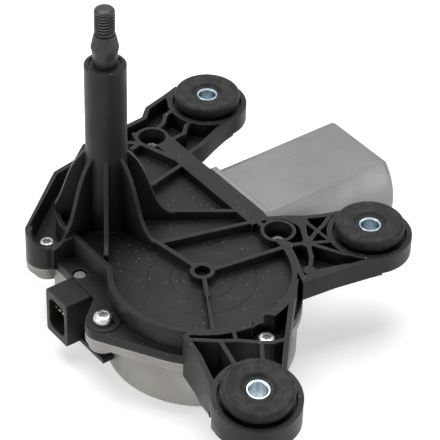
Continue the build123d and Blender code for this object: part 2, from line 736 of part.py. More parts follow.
def crank_pin():
    """Pressed into the wheel; a collar carries the link, a clip holds it down."""
    return rod(CRANK_PIN, PIN_R, WHEEL_BOTTOM + 1, LINK_BOTTOM + LINK_T + 1.6) + rod(
        CRANK_PIN, PIN_R + 1.8, WHEEL_HUB_TOP, LINK_BOTTOM - 0.1
    )


def ring(place, bore, radius, low, high):
    return rod(place, radius, low, high) - rod(place, bore, low - 1, high + 1)


# ---------------------------------------------------------------------------
# worm and wheel
# ---------------------------------------------------------------------------
def rack_half_width(height):
    """Half thickness of a tooth at a height above its pitch line."""
    at_pitch = math.pi * GEAR_MODULE / 4 - BACKLASH / 4
    return at_pitch - height * math.tan(math.radians(20))


def wheel_outline(turn):
    points = []
    root_r = WHEEL_PITCH_R - DEDENDUM
    tip_r = WHEEL_PITCH_R + ADDENDUM
    root_half = math.degrees(rack_half_width(-DEDENDUM) / root_r)
    tip_half = math.degrees(rack_half_width(ADDENDUM) / tip_r)
    for k in range(WHEEL_TEETH):
        middle = 90 + turn + (k + 0.5) * 360 / WHEEL_TEETH
        points += [
            polar(root_r, middle - root_half), polar(tip_r, middle - tip_half),
            polar(tip_r, middle + tip_half), polar(root_r, middle + root_half),
        ]
    return patch(*points)


def worm_wheel():
    twist = math.degrees(WHEEL_FACE / 2 * math.tan(math.radians(LEAD_ANGLE)) / WHEEL_PITCH_R)
    low = Pos(0, 0, WHEEL_BOTTOM) * wheel_outline(-twist)
    high = Pos(0, 0, WHEEL_TOP) * wheel_outline(twist)
    body = loft([low.faces()[0], high.faces()[0]], ruled=True)
    rim_inner = WHEEL_PITCH_R - DEDENDUM - WHEEL_RIM_T
    web_low = ARMATURE_Z - WHEEL_WEB_T / 2
    web_high = ARMATURE_Z + WHEEL_WEB_T / 2
    recess = Circle(rim_inner) - Circle(WHEEL_HUB_R)
    spokes = Sketch()
    for k in range(6):
        spokes += Rot(0, 0, 60 * k + 30) * Pos(22, 0, 0) * Rectangle(16, 1.8)
    body -= prism(recess - spokes, WHEEL_BOTTOM - 1, web_low)
    body -= prism(recess - spokes, web_high, WHEEL_TOP + 1)
    body += rod((0, 0), WHEEL_HUB_R, WHEEL_TOP - 1, WHEEL_HUB_TOP)
    body = at(WHEEL) * body
    body -= rod(WHEEL, AXLE_R + RUN_FIT, -40, 10)
    body -= rod(CRANK_PIN, PIN_R, WHEEL_BOTTOM + 1, 10)
    return body


def worm(turns):
    """Single-start right-hand worm about Z, with a short plain collar at each end."""
    thread_foot_r = WORM_CORE_R - 0.6
    foot = rack_half_width(thread_foot_r - WORM_PITCH_R)
    tip_r = WORM_PITCH_R + ADDENDUM
    tip = rack_half_width(ADDENDUM)
    section = Plane.XZ * patch((thread_foot_r, -foot), (tip_r, -tip), (tip_r, tip), (thread_foot_r, foot))
    thread = sweep(section, path=Helix(WORM_LEAD, turns * WORM_LEAD, WORM_PITCH_R), is_frenet=True)
    return prism(Circle(WORM_CORE_R), -WORM_COLLAR, turns * WORM_LEAD + WORM_COLLAR) + thread


def armature_shaft():
    """The worm starts where its thread enters a tooth gap of the wheel."""
    start = WHEEL_X - (0.75 + WORM_TURNS // 2) * WORM_LEAD
    return along(start) * worm(WORM_TURNS) + axial(SHAFT_R, SHAFT_NOSE, SHAFT_TAIL)


# ---------------------------------------------------------------------------
# motor
# ---------------------------------------------------------------------------
def yoke():
    can = along(YOKE_FRONT - 0.5) * extrude(yoke_profile(YOKE_R, YOKE_HALF_H), YOKE_BACK - YOKE_FRONT + 0.5)
    can = fillet(can.faces().sort_by(Axis.X)[-1].edges(), YOKE_CORNER)
    can += axial(BEARING_CUP_R, YOKE_BACK - 2, YOKE_BACK + BEARING_CUP_REACH)
    can += along(YOKE_MOUTH) * extrude(lip_profile(YOKE_LIP), YOKE_LIP_T)
    inner = along(YOKE_MOUTH - 1) * extrude(
        yoke_profile(YOKE_R - YOKE_WALL, YOKE_HALF_H - YOKE_WALL), YOKE_BACK - YOKE_WALL - YOKE_MOUTH + 1
    )
    inner = fillet(inner.faces().sort_by(Axis.X)[-1].edges(), YOKE_CORNER - YOKE_WALL)
    can -= inner
    can -= axial(BEARING_R, YOKE_BACK - 4, YOKE_BACK + BEARING_CUP_REACH - YOKE_WALL)
    for place in ear_places():
        can -= along(YOKE_MOUTH - 1) * prism(disc(place, YOKE_SCREW_R + 0.25), 0, YOKE_LIP_T + 2)
    return can


def yoke_screws():
    screws = []
    for place in ear_places():
        shank = prism(disc(place, YOKE_SCREW_R - 0.02), -YOKE_SCREW_LENGTH, 0)
        head = prism(disc(place, YOKE_SCREW_HEAD_R), 0, YOKE_SCREW_HEAD_H)
        head = fillet(head.edges().sort_by(Axis.Z)[-1], 0.9)
        screws.append(along(YOKE_FRONT) * (shank + head))
    return Compound(screws)


def magnets():
    outer = YOKE_R - YOKE_WALL - MAGNET_SEAT
    inner = outer - MAGNET_T
    reach = outer + 5
    half = math.radians(MAGNET_ARC / 2)
    start = CORE_START + (CORE_LENGTH - MAGNET_LENGTH) / 2
    pieces = []
    for side in (1, -1):
        wedge = patch(
            (0, 0), (reach * math.sin(half), side * reach * math.cos(half)), (0, side * 2 * reach),
            (-reach * math.sin(half), side * reach * math.cos(half)),
        )
        pieces.append(along(start) * extrude((Circle(outer) - Circle(inner)) & wedge, MAGNET_LENGTH))
    return Compound([piece.solids()[0] for piece in pieces])


def slot_plan(inset):
    foot = SLOT_FOOT_R + inset
    top = SLOT_TOP_R - inset
    half_turn = math.pi / SLOTS
    tooth = 2.2 + inset
    foot_half = foot * math.tan(half_turn) - tooth / math.cos(half_turn) / 2 - inset * 0.3
    top_half = top * math.tan(half_turn) - tooth / math.cos(half_turn) / 2 - inset * 0.3
    return patch((foot, -foot_half), (top, -top_half), (top, top_half), (foot, foot_half))


def rotor_core():
    plan = Circle(CORE_R) - Circle(SHAFT_R)
    for k in range(SLOTS):
        mouth = Pos((SLOT_TOP_R + CORE_R) / 2, 0, 0) * Rectangle(CORE_R - SLOT_TOP_R + 1, SLOT_MOUTH)
        plan -= Rot(0, 0, k * 360 / SLOTS) * (slot_plan(0) + mouth)
    return along(CORE_START) * extrude(plan, CORE_LENGTH)


def windings():
    end = Circle(END_TURN_R) - Circle(SHAFT_R + 1.6)
    coils = along(CORE_START - END_TURN_T) * extrude(end, END_TURN_T)
    coils += along(CORE_START + CORE_LENGTH) * extrude(end, END_TURN_T)
    outer_edges = coils.edges().filter_by(GeomType.CIRCLE).filter_by(
        lambda e: e.radius > END_TURN_R - 0.01
    )
    coils = fillet(outer_edges, 1.6)
    for k in range(SLOTS):
        coils += along(CORE_START - 1) * (
            Rot(0, 0, k * 360 / SLOTS) * extrude(slot_plan(0.35), CORE_LENGTH + 2)
        )
    return coils


def commutator_hub():
    return axial(COMMUTATOR_HUB_R, COMMUTATOR_START, COMMUTATOR_START + COMMUTATOR_LENGTH, SHAFT_R)


def commutator_bars():
    copper = Circle(COMMUTATOR_R) - Circle(COMMUTATOR_HUB_R)
    for k in range(SLOTS // 2):
        copper -= Rot(0, 0, (k + 0.5) * 360 / SLOTS) * Rectangle(4 * COMMUTATOR_R, COMMUTATOR_GAP)
    return along(COMMUTATOR_START + 0.5) * extrude(copper, COMMUTATOR_LENGTH - 0.5)


def brush_axes():
    """Frames with local X outwards along each brush and local Z along the shaft."""
    middle = CARD_START + CARD_T + BRUSH_BOX_WALL + BRUSH_AXIAL / 2
    return [along(middle) * Rot(0, 0, BRUSH_TURN + half) for half in (0, 180)]


def brushes():
    start = COMMUTATOR_R + BRUSH_AIR
    brush = Pos(start + BRUSH_LENGTH / 2, 0, 0) * Box(BRUSH_LENGTH, BRUSH_ACROSS, BRUSH_AXIAL)
    brush -= Cylinder(start, 4 * BRUSH_AXIAL)
    return Compound([(frame * brush).solids()[0] for frame in brush_axes()])


def brush_boxes():
    start = COMMUTATOR_R + 1.4
    length = BRUSH_LENGTH + SPRING_LENGTH - 1.4
    slip = 0.05
    outer = Box(length, BRUSH_ACROSS + 2 * BRUSH_BOX_WALL, BRUSH_AXIAL + 2 * BRUSH_BOX_WALL)
    inner = Box(length + 2, BRUSH_ACROSS + 2 * slip, BRUSH_AXIAL + 2 * slip)
    lid = Pos(length / 2 + BRUSH_BOX_WALL / 2, 0, 0) * Box(
        BRUSH_BOX_WALL, BRUSH_ACROSS + 2 * BRUSH_BOX_WALL, BRUSH_AXIAL + 2 * BRUSH_BOX_WALL
    )
    box = Pos(start + length / 2, 0, 0) * (outer - inner + lid)
    return Compound([(frame * box).solids()[0] for frame in brush_axes()])


def brush_springs():
    pitch = (SPRING_LENGTH - SPRING_WIRE) / SPRING_TURNS
    start = COMMUTATOR_R + BRUSH_AIR + BRUSH_LENGTH + SPRING_WIRE / 2 + 0.02
    coil_path = Helix(pitch, SPRING_TURNS * pitch, SPRING_R - SPRING_WIRE / 2)
    section = Plane(origin=coil_path @ 0, z_dir=coil_path % 0) * Circle(SPRING_WIRE / 2)
    coil = Pos(start, 0, 0) * Rot(0, 90, 0) * sweep(section, path=coil_path, is_frenet=True)
    return Compound([(frame * coil).solids()[0] for frame in brush_axes()])


def brush_card():
    plan = yoke_profile(YOKE_R - YOKE_WALL - CARD_AIR, YOKE_HALF_H - YOKE_WALL - CARD_AIR)
    plan -= Circle(COMMUTATOR_R + 1.2)
    return along(CARD_START) * extrude(plan, CARD_T)


def choke_coils():
    chokes = []
    for half in (0, 180):
        frame = along(CARD_START + CARD_T) * Rot(0, 0, 90 + BRUSH_TURN + half)
        chokes.append((frame * Pos(CHOKE_REACH, 0, CHOKE_LENGTH / 2) * Cylinder(CHOKE_R, CHOKE_LENGTH)).solids()[0])
    return Compound(chokes)


# ---------------------------------------------------------------------------
# connector, board and bars
# ---------------------------------------------------------------------------
def blade_rows():
    middle = (PLUG_Y_LOW + PLUG_Y_HIGH) / 2
    return [middle + (k - (BLADES - 1) / 2) * BLADE_PITCH for k in range(BLADES)]


def connector():
    body = block((PLUG_FACE_X, PLUG_Y_LOW, PLUG_BOTTOM), (CASE_LEFT_X, PLUG_Y_HIGH, PLUG_TOP))
    body = fillet(body.edges().filter_by(Axis.X), 1.2)
    body += block(
        (CASE_LEFT_X - 1, PLUG_Y_LOW + 1.5, TONGUE_LOW + 0.1),
        (BOARD_LOW[0], PLUG_Y_HIGH - 1.5, TONGUE_HIGH - 0.1),
    )
    width = PLUG_Y_HIGH - PLUG_Y_LOW - 2 * SOCKET_WALL
    height = PLUG_TOP - PLUG_BOTTOM - 2 * SOCKET_WALL - 2.4
    mouth = Plane(
        origin=(PLUG_FACE_X, (PLUG_Y_LOW + PLUG_Y_HIGH) / 2, (PLUG_TOP + PLUG_BOTTOM) / 2),
        x_dir=(0, 1, 0), z_dir=(1, 0, 0),
    )
    body -= extrude(mouth * RectangleRounded(width, height, 3.2), SOCKET_DEPTH)
    shelf = patch(
        (SHELF_X, PLUG_Y_LOW + 1), (SHELF_X, SHELF_END_Y), (SHELF_X + 8, SHELF_END_Y),
        (SHELF_X + 8, -36.5), (CASE_LEFT_X - 0.3, -36.5), (CASE_LEFT_X - 0.3, PLUG_Y_LOW + 1),
    ) - disc(WHEEL, CASE_R + 0.1)
    body += prism(shelf, PLUG_BOTTOM, PLUG_BOTTOM + SHELF_T)
    for y in blade_rows():
        body -= blade(y)
    return body


def blade(y):
    return block((PLUG_FACE_X + 2.2, y - BAR_W / 2, BOARD_TOP), (BOARD_LOW[0] + 5, y + BAR_W / 2, BOARD_TOP + BAR_T))


def terminal_blades():
    return Compound([blade(y).solids()[0] for y in blade_rows()])


def sensor_board():
    air = 0.1
    return block(
        (BOARD_LOW[0] + air, BOARD_LOW[1] + air, BOARD_BOTTOM), (BOARD_HIGH[0] - air, BOARD_HIGH[1] - air, BOARD_TOP)
    )


def board_chips():
    chips = [
        block((-24.6, -31.2, BOARD_TOP), (-19.4, -28.2, BOARD_TOP + 1.4)),
        block((-24.4, -14.0, BOARD_TOP), (-19.4, -9.0, BOARD_TOP + 1.2)),
        rod((-21.8, -6.9), 1.1, BOARD_TOP, BOARD_TOP + 2.0),
    ]
    return Compound([chip.solids()[0] for chip in chips])


def feed_bars():
    bars = []
    for y in BAR_PLACES:
        bars.append(block((BOARD_HIGH[0] - 5, y - BAR_W / 2, BOARD_TOP), (CARD_START, y + BAR_W / 2, BOARD_TOP + BAR_T)))
    return Compound([bar.solids()[0] for bar in bars])


# ---------------------------------------------------------------------------
# write every piece
# ---------------------------------------------------------------------------
save("cover", cover())
save("gearcase", gearcase())
save("housing_gasket", gasket())
save("cover_screws", cover_screws())
for number, place in enumerate(FOOT_PLACES, start=1):
    save(f"grommet_{number}", foot_frame(place) * grommet())
    save(f"mount_sleeve_{number}", foot_frame(place) * sleeve())

save("spindle", spindle())
save("rocker_arm", rocker_arm())
save("rocker_pin", rocker_pin())
save("connecting_link", link())
save("lower_bush", ring(SPINDLE, SPINDLE_R + RUN_FIT, BUSH_R, TOWER_SEAT, LOWER_BUSH_TOP))
save("upper_bush", ring(SPINDLE, SPINDLE_R + RUN_FIT, BUSH_R, UPPER_BUSH_FOOT, UPPER_BUSH_TOP))
save("spindle_seal", ring(SPINDLE, SPINDLE_R + RUN_FIT, BUSH_R, UPPER_BUSH_TOP, UPPER_BUSH_TOP + SEAL_H))
save("thrust_washer", ring(SPINDLE, SPINDLE_R + RUN_FIT, WASHER_R, ROCKER_TOP + 0.05, TOWER_SEAT))

save("worm_wheel", worm_wheel())
save("crank_pin", crank_pin())
save("crank_pin_clip", ring(
    CRANK_PIN, PIN_R, PIN_R + 1.7, LINK_BOTTOM + LINK_T + 0.1, LINK_BOTTOM + LINK_T + 0.1 + CLIP_T))
save("wheel_axle", rod(WHEEL, AXLE_R, GEARCASE_BOTTOM + 2, WHEEL_HUB_TOP + 1.3))
save("wheel_washer", ring(WHEEL, AXLE_R, AXLE_R + 3.4, WHEEL_BOTTOM - AXLE_WASHER_T, WHEEL_BOTTOM - 0.05))
save("wheel_clip", ring(WHEEL, AXLE_R, AXLE_R + 1.3, WHEEL_HUB_TOP + 0.1, WHEEL_HUB_TOP + 0.1 + CLIP_T))

save("armature_shaft", armature_shaft())
save("rotor_core", rotor_core())
save("windings", windings())
save("commutator_hub", commutator_hub())
save("commutator_bars", commutator_bars())
nose_end = SHAFT_NOSE + 0.5
save("nose_bush", axial(NOSE_BUSH_R, nose_end, nose_end + NOSE_BUSH_LENGTH, SHAFT_R + RUN_FIT))
save("thrust_pad", axial(THRUST_PAD_R, SHAFT_NOSE - THRUST_AIR - THRUST_PAD_T, SHAFT_NOSE - THRUST_AIR))
front_end = FRONT_BEARING_START + FRONT_BEARING_LENGTH
save("front_bearing", axial(BEARING_R, FRONT_BEARING_START, front_end, SHAFT_R + RUN_FIT))
rear_end = YOKE_BACK + BEARING_CUP_REACH - YOKE_WALL
save("rear_bearing", axial(BEARING_R, rear_end - REAR_BEARING_LENGTH, rear_end, SHAFT_R + RUN_FIT))

save("yoke", yoke())
save("yoke_screws", yoke_screws())
save("magnets", magnets())
save("brush_card", brush_card())
save("brush_boxes", brush_boxes())
save("brushes", brushes())
save("brush_springs", brush_springs())
save("choke_coils", choke_coils())

save("connector", connector())
save("terminal_blades", terminal_blades())
save("sensor_board", sensor_board())
save("board_chips", board_chips())
save("feed_bars", feed_bars())
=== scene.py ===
import json
import math

import bmesh
import bpy
from mathutils import Matrix, Vector


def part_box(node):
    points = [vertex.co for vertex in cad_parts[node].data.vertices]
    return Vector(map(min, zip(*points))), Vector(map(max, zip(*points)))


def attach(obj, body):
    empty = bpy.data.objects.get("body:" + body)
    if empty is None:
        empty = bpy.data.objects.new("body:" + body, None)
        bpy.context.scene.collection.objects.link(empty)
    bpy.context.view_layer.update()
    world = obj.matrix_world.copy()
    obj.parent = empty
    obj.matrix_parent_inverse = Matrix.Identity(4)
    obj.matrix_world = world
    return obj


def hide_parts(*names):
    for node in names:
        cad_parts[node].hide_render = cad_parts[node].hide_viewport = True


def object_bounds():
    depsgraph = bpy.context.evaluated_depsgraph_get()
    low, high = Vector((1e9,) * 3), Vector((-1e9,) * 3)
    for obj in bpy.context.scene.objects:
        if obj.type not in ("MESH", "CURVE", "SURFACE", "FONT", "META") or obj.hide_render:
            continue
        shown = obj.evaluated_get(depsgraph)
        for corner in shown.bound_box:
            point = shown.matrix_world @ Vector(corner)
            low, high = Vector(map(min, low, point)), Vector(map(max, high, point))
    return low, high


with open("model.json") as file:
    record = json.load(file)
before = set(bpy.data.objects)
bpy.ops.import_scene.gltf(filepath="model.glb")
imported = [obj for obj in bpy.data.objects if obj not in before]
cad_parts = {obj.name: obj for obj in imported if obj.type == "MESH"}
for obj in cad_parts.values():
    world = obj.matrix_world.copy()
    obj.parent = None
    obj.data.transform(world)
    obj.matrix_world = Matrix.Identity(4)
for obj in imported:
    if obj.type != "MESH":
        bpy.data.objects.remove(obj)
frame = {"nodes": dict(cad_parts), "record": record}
cad_low, cad_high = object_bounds()
nodes = frame["nodes"]
mounts = {mount["name"]: mount for mount in frame["record"]["mounts"]}
MM = 0.001
SPLIT = 96.9  # mm from the split plane between case and cover up to the frame's origin

# The wheel's axis, the round pot over it and the cover's five screws, in mm.
WHEEL = (8.9, -51.6)
POT_R = 37.5
S1, S2, S3, S4, S5 = (-26, 4.2), (-32.6, -45.1), (43.5, 31), (48.0, -48.7), (10, -91)


# ---------------------------------------------------------------------------
# Camera
# A long lens on the connector side, looking down at the ribbed cover.
# ---------------------------------------------------------------------------
camera = bpy.data.objects.new("camera", bpy.data.cameras.new("camera"))
camera.data.sensor_width = 36
camera.data.lens = 175.5
camera.data.clip_end = 20
camera.matrix_world = (
    Matrix.Translation((-0.3731, -0.5597, 0.4375))
    @ Matrix.Rotation(math.radians(-37.5), 4, "Z")
    @ Matrix.Rotation(math.radians(52), 4, "X")
    @ Matrix.Rotation(math.radians(1.5), 4, "Z")
)
bpy.context.scene.collection.objects.link(camera)
bpy.context.scene.camera = camera
bpy.context.scene.view_settings.view_transform = "Standard"


# ---------------------------------------------------------------------------
# Studio
# A white floor under a wide softbox overhead, with a smaller one on the left
# and one on the right. The room itself only fills in.
# ---------------------------------------------------------------------------
def add_piece(name, mesh):
    piece = bpy.data.objects.new(name, mesh)
    bpy.context.scene.collection.objects.link(piece)
    return piece


def new_material(name, colour, roughness, metallic=0.0):
    """A Principled material, and the node tree with its shader to build on."""
    material = bpy.data.materials.new(name)
    material.use_nodes = True
    tree = material.node_tree
    shader = tree.nodes["Principled BSDF"]
    shader.inputs["Base Color"].default_value = (*colour, 1)
    shader.inputs["Roughness"].default_value = roughness
    shader.inputs["Metallic"].default_value = metallic
    return material, tree, shader


def add_node(tree, kind, inputs=None, **settings):
    """Adds a node; inputs that are sockets are linked, and others are set."""
    node = tree.nodes.new(kind)
    for key, value in settings.items():
        setattr(node, key, value)
    for key, value in (inputs or {}).items():
        if isinstance(value, bpy.types.NodeSocket):
            tree.links.new(value, node.inputs[key])
        else:
            node.inputs[key].default_value = value
    return node


def softbox(name, place, aim, width, power):
    lamp = bpy.data.lights.new(name, "AREA")
    lamp.shape = "SQUARE"
    lamp.size = width
    lamp.energy = power
    box = bpy.data.objects.new(name, lamp)
    box.location = place
    box.rotation_euler = (Vector(aim) - Vector(place)).to_track_quat("-Z", "Y").to_euler()
    bpy.context.scene.collection.objects.link(box)


softbox("softbox_top", (0.10, 0.25, 1.25), (0.03, -0.04, -0.08), 1.2, 17.0)
softbox("softbox_left", (-1.0, 0.15, 0.45), (0.03, -0.04, -0.06), 0.7, 4.0)
softbox("softbox_right", (0.75, -0.95, 0.25), (0.03, -0.04, -0.09), 0.8, 3.2)


def white_when_seen(tree, unseen, seen):
    """A level that is higher for camera, glossy and transmission rays."""
    path = add_node(tree, "ShaderNodeLightPath")
    mirrored = add_node(
        tree, "ShaderNodeMath",
        {0: path.outputs["Is Glossy Ray"], 1: path.outputs["Is Transmission Ray"]},
        operation="MAXIMUM",
    )
    direct = add_node(
        tree, "ShaderNodeMath",
        {0: path.outputs["Is Camera Ray"], 1: mirrored.outputs[0]},
        operation="MAXIMUM",
    )
    return add_node(
        tree, "ShaderNodeMapRange", {"Value": direct.outputs[0], "To Min": unseen, "To Max": seen}
    ).outputs["Result"]


room = bpy.data.worlds.new("room")
room.use_nodes = True
room_light = room.node_tree.nodes["Background"]
room_light.inputs["Color"].default_value = (1, 1, 1, 1)
room.node_tree.links.new(
    white_when_seen(room.node_tree, 0.25, 1.0), room_light.inputs["Strength"]
)
bpy.context.scene.world = room

FLOOR_R = 6
FLOOR_GAP = 0.0002
floor_mesh = bmesh.new()
bmesh.ops.create_circle(
    floor_mesh, cap_ends=True, segments=96, radius=FLOOR_R,
    matrix=Matrix.Translation((0.03, -0.04, cad_low.z - FLOOR_GAP)),
)
floor_data = bpy.data.meshes.new("floor")
floor_mesh.to_mesh(floor_data)
floor_mesh.free()
floor = add_piece("floor", floor_data)
white_paper, tree, shader = new_material("white_paper", (0.86, 0.86, 0.86), 0.9)
shader.inputs["Specular IOR Level"].default_value = 0.1
shader.inputs["Emission Color"].default_value = (1, 1, 1, 1)
tree.links.new(white_when_seen(tree, 0.0, 0.45), shader.inputs["Emission Strength"])
floor.data.materials.append(white_paper)


# ---------------------------------------------------------------------------
# Gearcase
# A pressure die-cast aluminium pan with the worm tunnel along one side. The
# cast skin is left bare: dull, a little mottled, with brighter edges where
# the trimming tool and handling have rubbed it. Its screw lobes end well over
# the floor of the pan, and a spigot fills the locating hole.
# ---------------------------------------------------------------------------
def new_group(name, inputs, outputs):
    """A shader node group with these number inputs and these outputs."""
    group = bpy.data.node_groups.new(name, "ShaderNodeTree")
    for label, value in inputs.items():
        socket = group.interface.new_socket(label, in_out="INPUT", socket_type="NodeSocketFloat")
        socket.default_value = value
    for label, kind in outputs.items():
        group.interface.new_socket(label, in_out="OUTPUT", socket_type=kind)
    return group, group.nodes.new("NodeGroupInput"), group.nodes.new("NodeGroupOutput")


def edge_wear_and_highlight_group():
    """Rounds the edges in the shading and marks them, for rubbed wear and for a painted highlight
    along them.
    """
    group, given, made = new_group(
        "edge_wear_and_highlight",
        {"Radius": 0.0003, "Width": 0.0005, "Patchiness": 900.0},
        {"Normal": "NodeSocketVector", "Edge": "NodeSocketFloat"},
    )
    rounded = add_node(group, "ShaderNodeBevel", {"Radius": given.outputs["Radius"]}, samples=6)
    inner = add_node(
        group,
        "ShaderNodeAmbientOcclusion",
        {"Distance": given.outputs["Width"]},
        samples=6, inside=True, only_local=True,
    )
    place = add_node(group, "ShaderNodeTexCoord")
    patches = add_node(
        group,
        "ShaderNodeTexNoise",
        {"Vector": place.outputs["Object"], "Scale": given.outputs["Patchiness"], "Detail": 3.0},
    )
    thin = add_node(
        group,
        "ShaderNodeMapRange",
        {"Value": inner.outputs["AO"], "From Min": 0.75, "From Max": 0.35},
    )
    rubbed_and_highlit = add_node(
        group,
        "ShaderNodeMapRange",
        {"Value": patches.outputs["Fac"], "From Min": 0.35, "From Max": 0.65, "To Min": 0.35},
    )
    edge = add_node(
        group, "ShaderNodeMath", {0: thin.outputs[0], 1: rubbed_and_highlit.outputs[0]}, operation="MULTIPLY"
    )
    group.links.new(rounded.outputs[0], made.inputs["Normal"])
    group.links.new(edge.outputs[0], made.inputs["Edge"])
    return group


def grain_group():
    """A fine pebbled skin over slow, cloudy changes."""
    group, given, made = new_group(
        "skin_grain",
        {"Grain": 4000.0, "Cloud": 90.0},
        {"Height": "NodeSocketFloat", "Cloud": "NodeSocketFloat"},
    )
    place = add_node(group, "ShaderNodeTexCoord")
    fine = add_node(
        group,
        "ShaderNodeTexNoise",
        {"Vector": place.outputs["Object"], "Scale": given.outputs["Grain"], "Detail": 2.0},
    )
    slow = add_node(
        group,
        "ShaderNodeTexNoise",
        {"Vector": place.outputs["Object"], "Scale": given.outputs["Cloud"], "Detail": 5.0},
    )
    group.links.new(fine.outputs["Fac"], made.inputs["Height"])
    group.links.new(slow.outputs["Fac"], made.inputs["Cloud"])
    return group


def pocket_shade_group():
    """Marks pockets and corners, for painted shade that darkens the colour where little light
    reaches.
    """
    group, given, made = new_group("recess", {"Reach": 0.007}, {"Deep": "NodeSocketFloat"})
    open_sky = add_node(
        group,
        "ShaderNodeAmbientOcclusion",
        {"Distance": given.outputs["Reach"]},
        samples=6,
    )
    pocket_shade = add_node(
        group,
        "ShaderNodeMapRange",
        {"Value": open_sky.outputs["AO"], "From Min": 0.95, "From Max": 0.35},
    )
    group.links.new(pocket_shade.outputs[0], made.inputs["Deep"])
    return group


edge_wear_and_highlight = edge_wear_and_highlight_group()
skin_grain = grain_group()
recess = pocket_shade_group()


def place_group(tree, group, **values):
    node = tree.nodes.new("ShaderNodeGroup")
    node.node_tree = group
    for label, value in values.items():
        node.inputs[label].default_value = value
    return node


def shade(tree, factor, first, second):
    """A colour that goes from first to second with a mask."""
    mix = add_node(tree, "ShaderNodeMix", data_type="RGBA")
    tree.links.new(factor, mix.inputs["Factor"])
    for slot, colour in ((6, first), (7, second)):
        if isinstance(colour, bpy.types.NodeSocket):
            tree.links.new(colour, mix.inputs[slot])
        else:
            mix.inputs[slot].default_value = (*colour, 1)
    return mix.outputs[2]


def spread(tree, value, low, high, start=0.3, end=0.7):
    """A number that goes from low to high as value goes from start to end."""
    return add_node(
        tree,
        "ShaderNodeMapRange",
        {"Value": value, "From Min": start, "From Max": end, "To Min": low, "To Max": high},
    ).outputs[0]


def roughen(tree, shader, height, distance, normal=None):
    """Bumps the surface, on top of a normal where one is given."""
    bump = add_node(tree, "ShaderNodeBump", {"Height": height, "Distance": distance})
    if normal is not None:
        tree.links.new(normal, bump.inputs["Normal"])
    tree.links.new(bump.outputs[0], shader.inputs["Normal"])


def wear(material, *names):
    """Puts a material on CAD nodes."""
    for name in names:
        for slot in nodes[name].material_slots:
            slot.material = material


def finished(name, mesh, material, body, smooth=35):
    """Makes the piece, with its normals outwards and its edges kept crisp."""
    bmesh.ops.recalc_face_normals(mesh, faces=mesh.faces)
    data = bpy.data.meshes.new(name)
    mesh.to_mesh(data)
    mesh.free()
    for polygon in data.polygons:
        polygon.use_smooth = True
    data.set_sharp_from_angle(angle=math.radians(smooth))
    data.materials.append(material)
    piece = add_piece(name, data)
    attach(piece, body)
    return piece


def slab(outline, low, high):
    """A prism from an outline, between two heights over the split plane, in mm."""
    mesh = bmesh.new()
    ring = [mesh.verts.new((x * MM, y * MM, (low - SPLIT) * MM)) for x, y in outline]
    grown = bmesh.ops.extrude_face_region(mesh, geom=[mesh.faces.new(ring)])["geom"]
    top = [item for item in grown if isinstance(item, bmesh.types.BMVert)]
    bmesh.ops.translate(mesh, verts=top, vec=(0, 0, (high - low) * MM))
    return mesh


def add_rod(mesh, middle, radii, depth, segments, turn=Matrix()):
    """Adds a round form with these radii at its ends; middle is over the split plane, in mm."""
    x, y, z = middle
    bmesh.ops.create_cone(
        mesh, cap_ends=True, segments=segments,
        radius1=radii[0] * MM, radius2=radii[1] * MM, depth=depth * MM,
        matrix=Matrix.Translation((x * MM, y * MM, (z - SPLIT) * MM)) @ turn,
    )
    return mesh


def arc(centre, radius, start, end, steps=24):
    """Points on a circle, angles in radians."""
    turns = [start + (end - start) * step / steps for step in range(steps + 1)]
    return [(centre[0] + radius * math.cos(t), centre[1] + radius * math.sin(t)) for t in turns]


WELD = 2e-6  # metres, to join a CAD mesh's faces along their edges


def carved(node, cutters, grown=()):
    """A CAD node's form with the cutters taken away and the grown forms added."""
    plain = nodes[node].data.copy()
    for extra in ("custom_normal", "sharp_edge", "sharp_face"):
        if extra in plain.attributes:
            plain.attributes.remove(plain.attributes[extra])
    mesh = bmesh.new()
    mesh.from_mesh(plain)
    bpy.data.meshes.remove(plain)
    bmesh.ops.remove_doubles(mesh, verts=mesh.verts, dist=WELD)
    objects = []
    for item in (mesh, *cutters, *grown):
        bmesh.ops.recalc_face_normals(item, faces=item.faces)
        data = bpy.data.meshes.new(node)
        item.to_mesh(data)
        item.free()
        objects.append(add_piece("form", data))
    for order, tool in enumerate(objects[1:]):
        cut = objects[0].modifiers.new("cut", "BOOLEAN")
        cut.operation = "DIFFERENCE" if order < len(cutters) else "UNION"
        cut.solver = "EXACT"
        cut.object = tool
    seen = objects[0].evaluated_get(bpy.context.evaluated_depsgraph_get())
    mesh = bmesh.new()
    mesh.from_mesh(seen.to_mesh())
    for item in objects:
        bpy.data.meshes.remove(item.data)
    return mesh


cast_aluminium, tree, shader = new_material("cast_aluminium", (0.33, 0.32, 0.30), 0.5, 0.85)
edges = place_group(tree, edge_wear_and_highlight, Radius=0.6 * MM, Width=0.8 * MM, Patchiness=700)
skin = place_group(tree, skin_grain, Grain=2600, Cloud=70)
dull = shade(tree, skin.outputs["Cloud"], (0.20, 0.19, 0.175), (0.35, 0.34, 0.32))
tree.links.new(
    shade(tree, edges.outputs["Edge"], dull, (0.58, 0.57, 0.55)), shader.inputs["Base Color"]
)
tree.links.new(spread(tree, skin.outputs["Cloud"], 0.62, 0.42), shader.inputs["Roughness"])
roughen(tree, shader, skin.outputs["Height"], 0.00004, edges.outputs["Normal"])

LOBE_R = 6.0
LOBE_FOOT = -7.8  # where the screw lobes really end, over the split plane
BELOW_LOBES = -17


def under_lobe(place, radius=LOBE_R):
    """What hangs under a screw lobe's real end, outside the pot."""
    away = math.dist(place, WHEEL)
    heading = math.atan2(place[1] - WHEEL[1], place[0] - WHEEL[0])
    wide = math.acos((away**2 + POT_R**2 - radius**2) / (2 * away * POT_R))
    tight = math.pi - math.acos((away**2 + radius**2 - POT_R**2) / (2 * away * radius))
    outline = arc(WHEEL, POT_R, heading + wide, heading - wide)
    outline += arc(place, radius, heading - tight, heading + tight)
    return slab(outline, BELOW_LOBES, LOBE_FOOT)


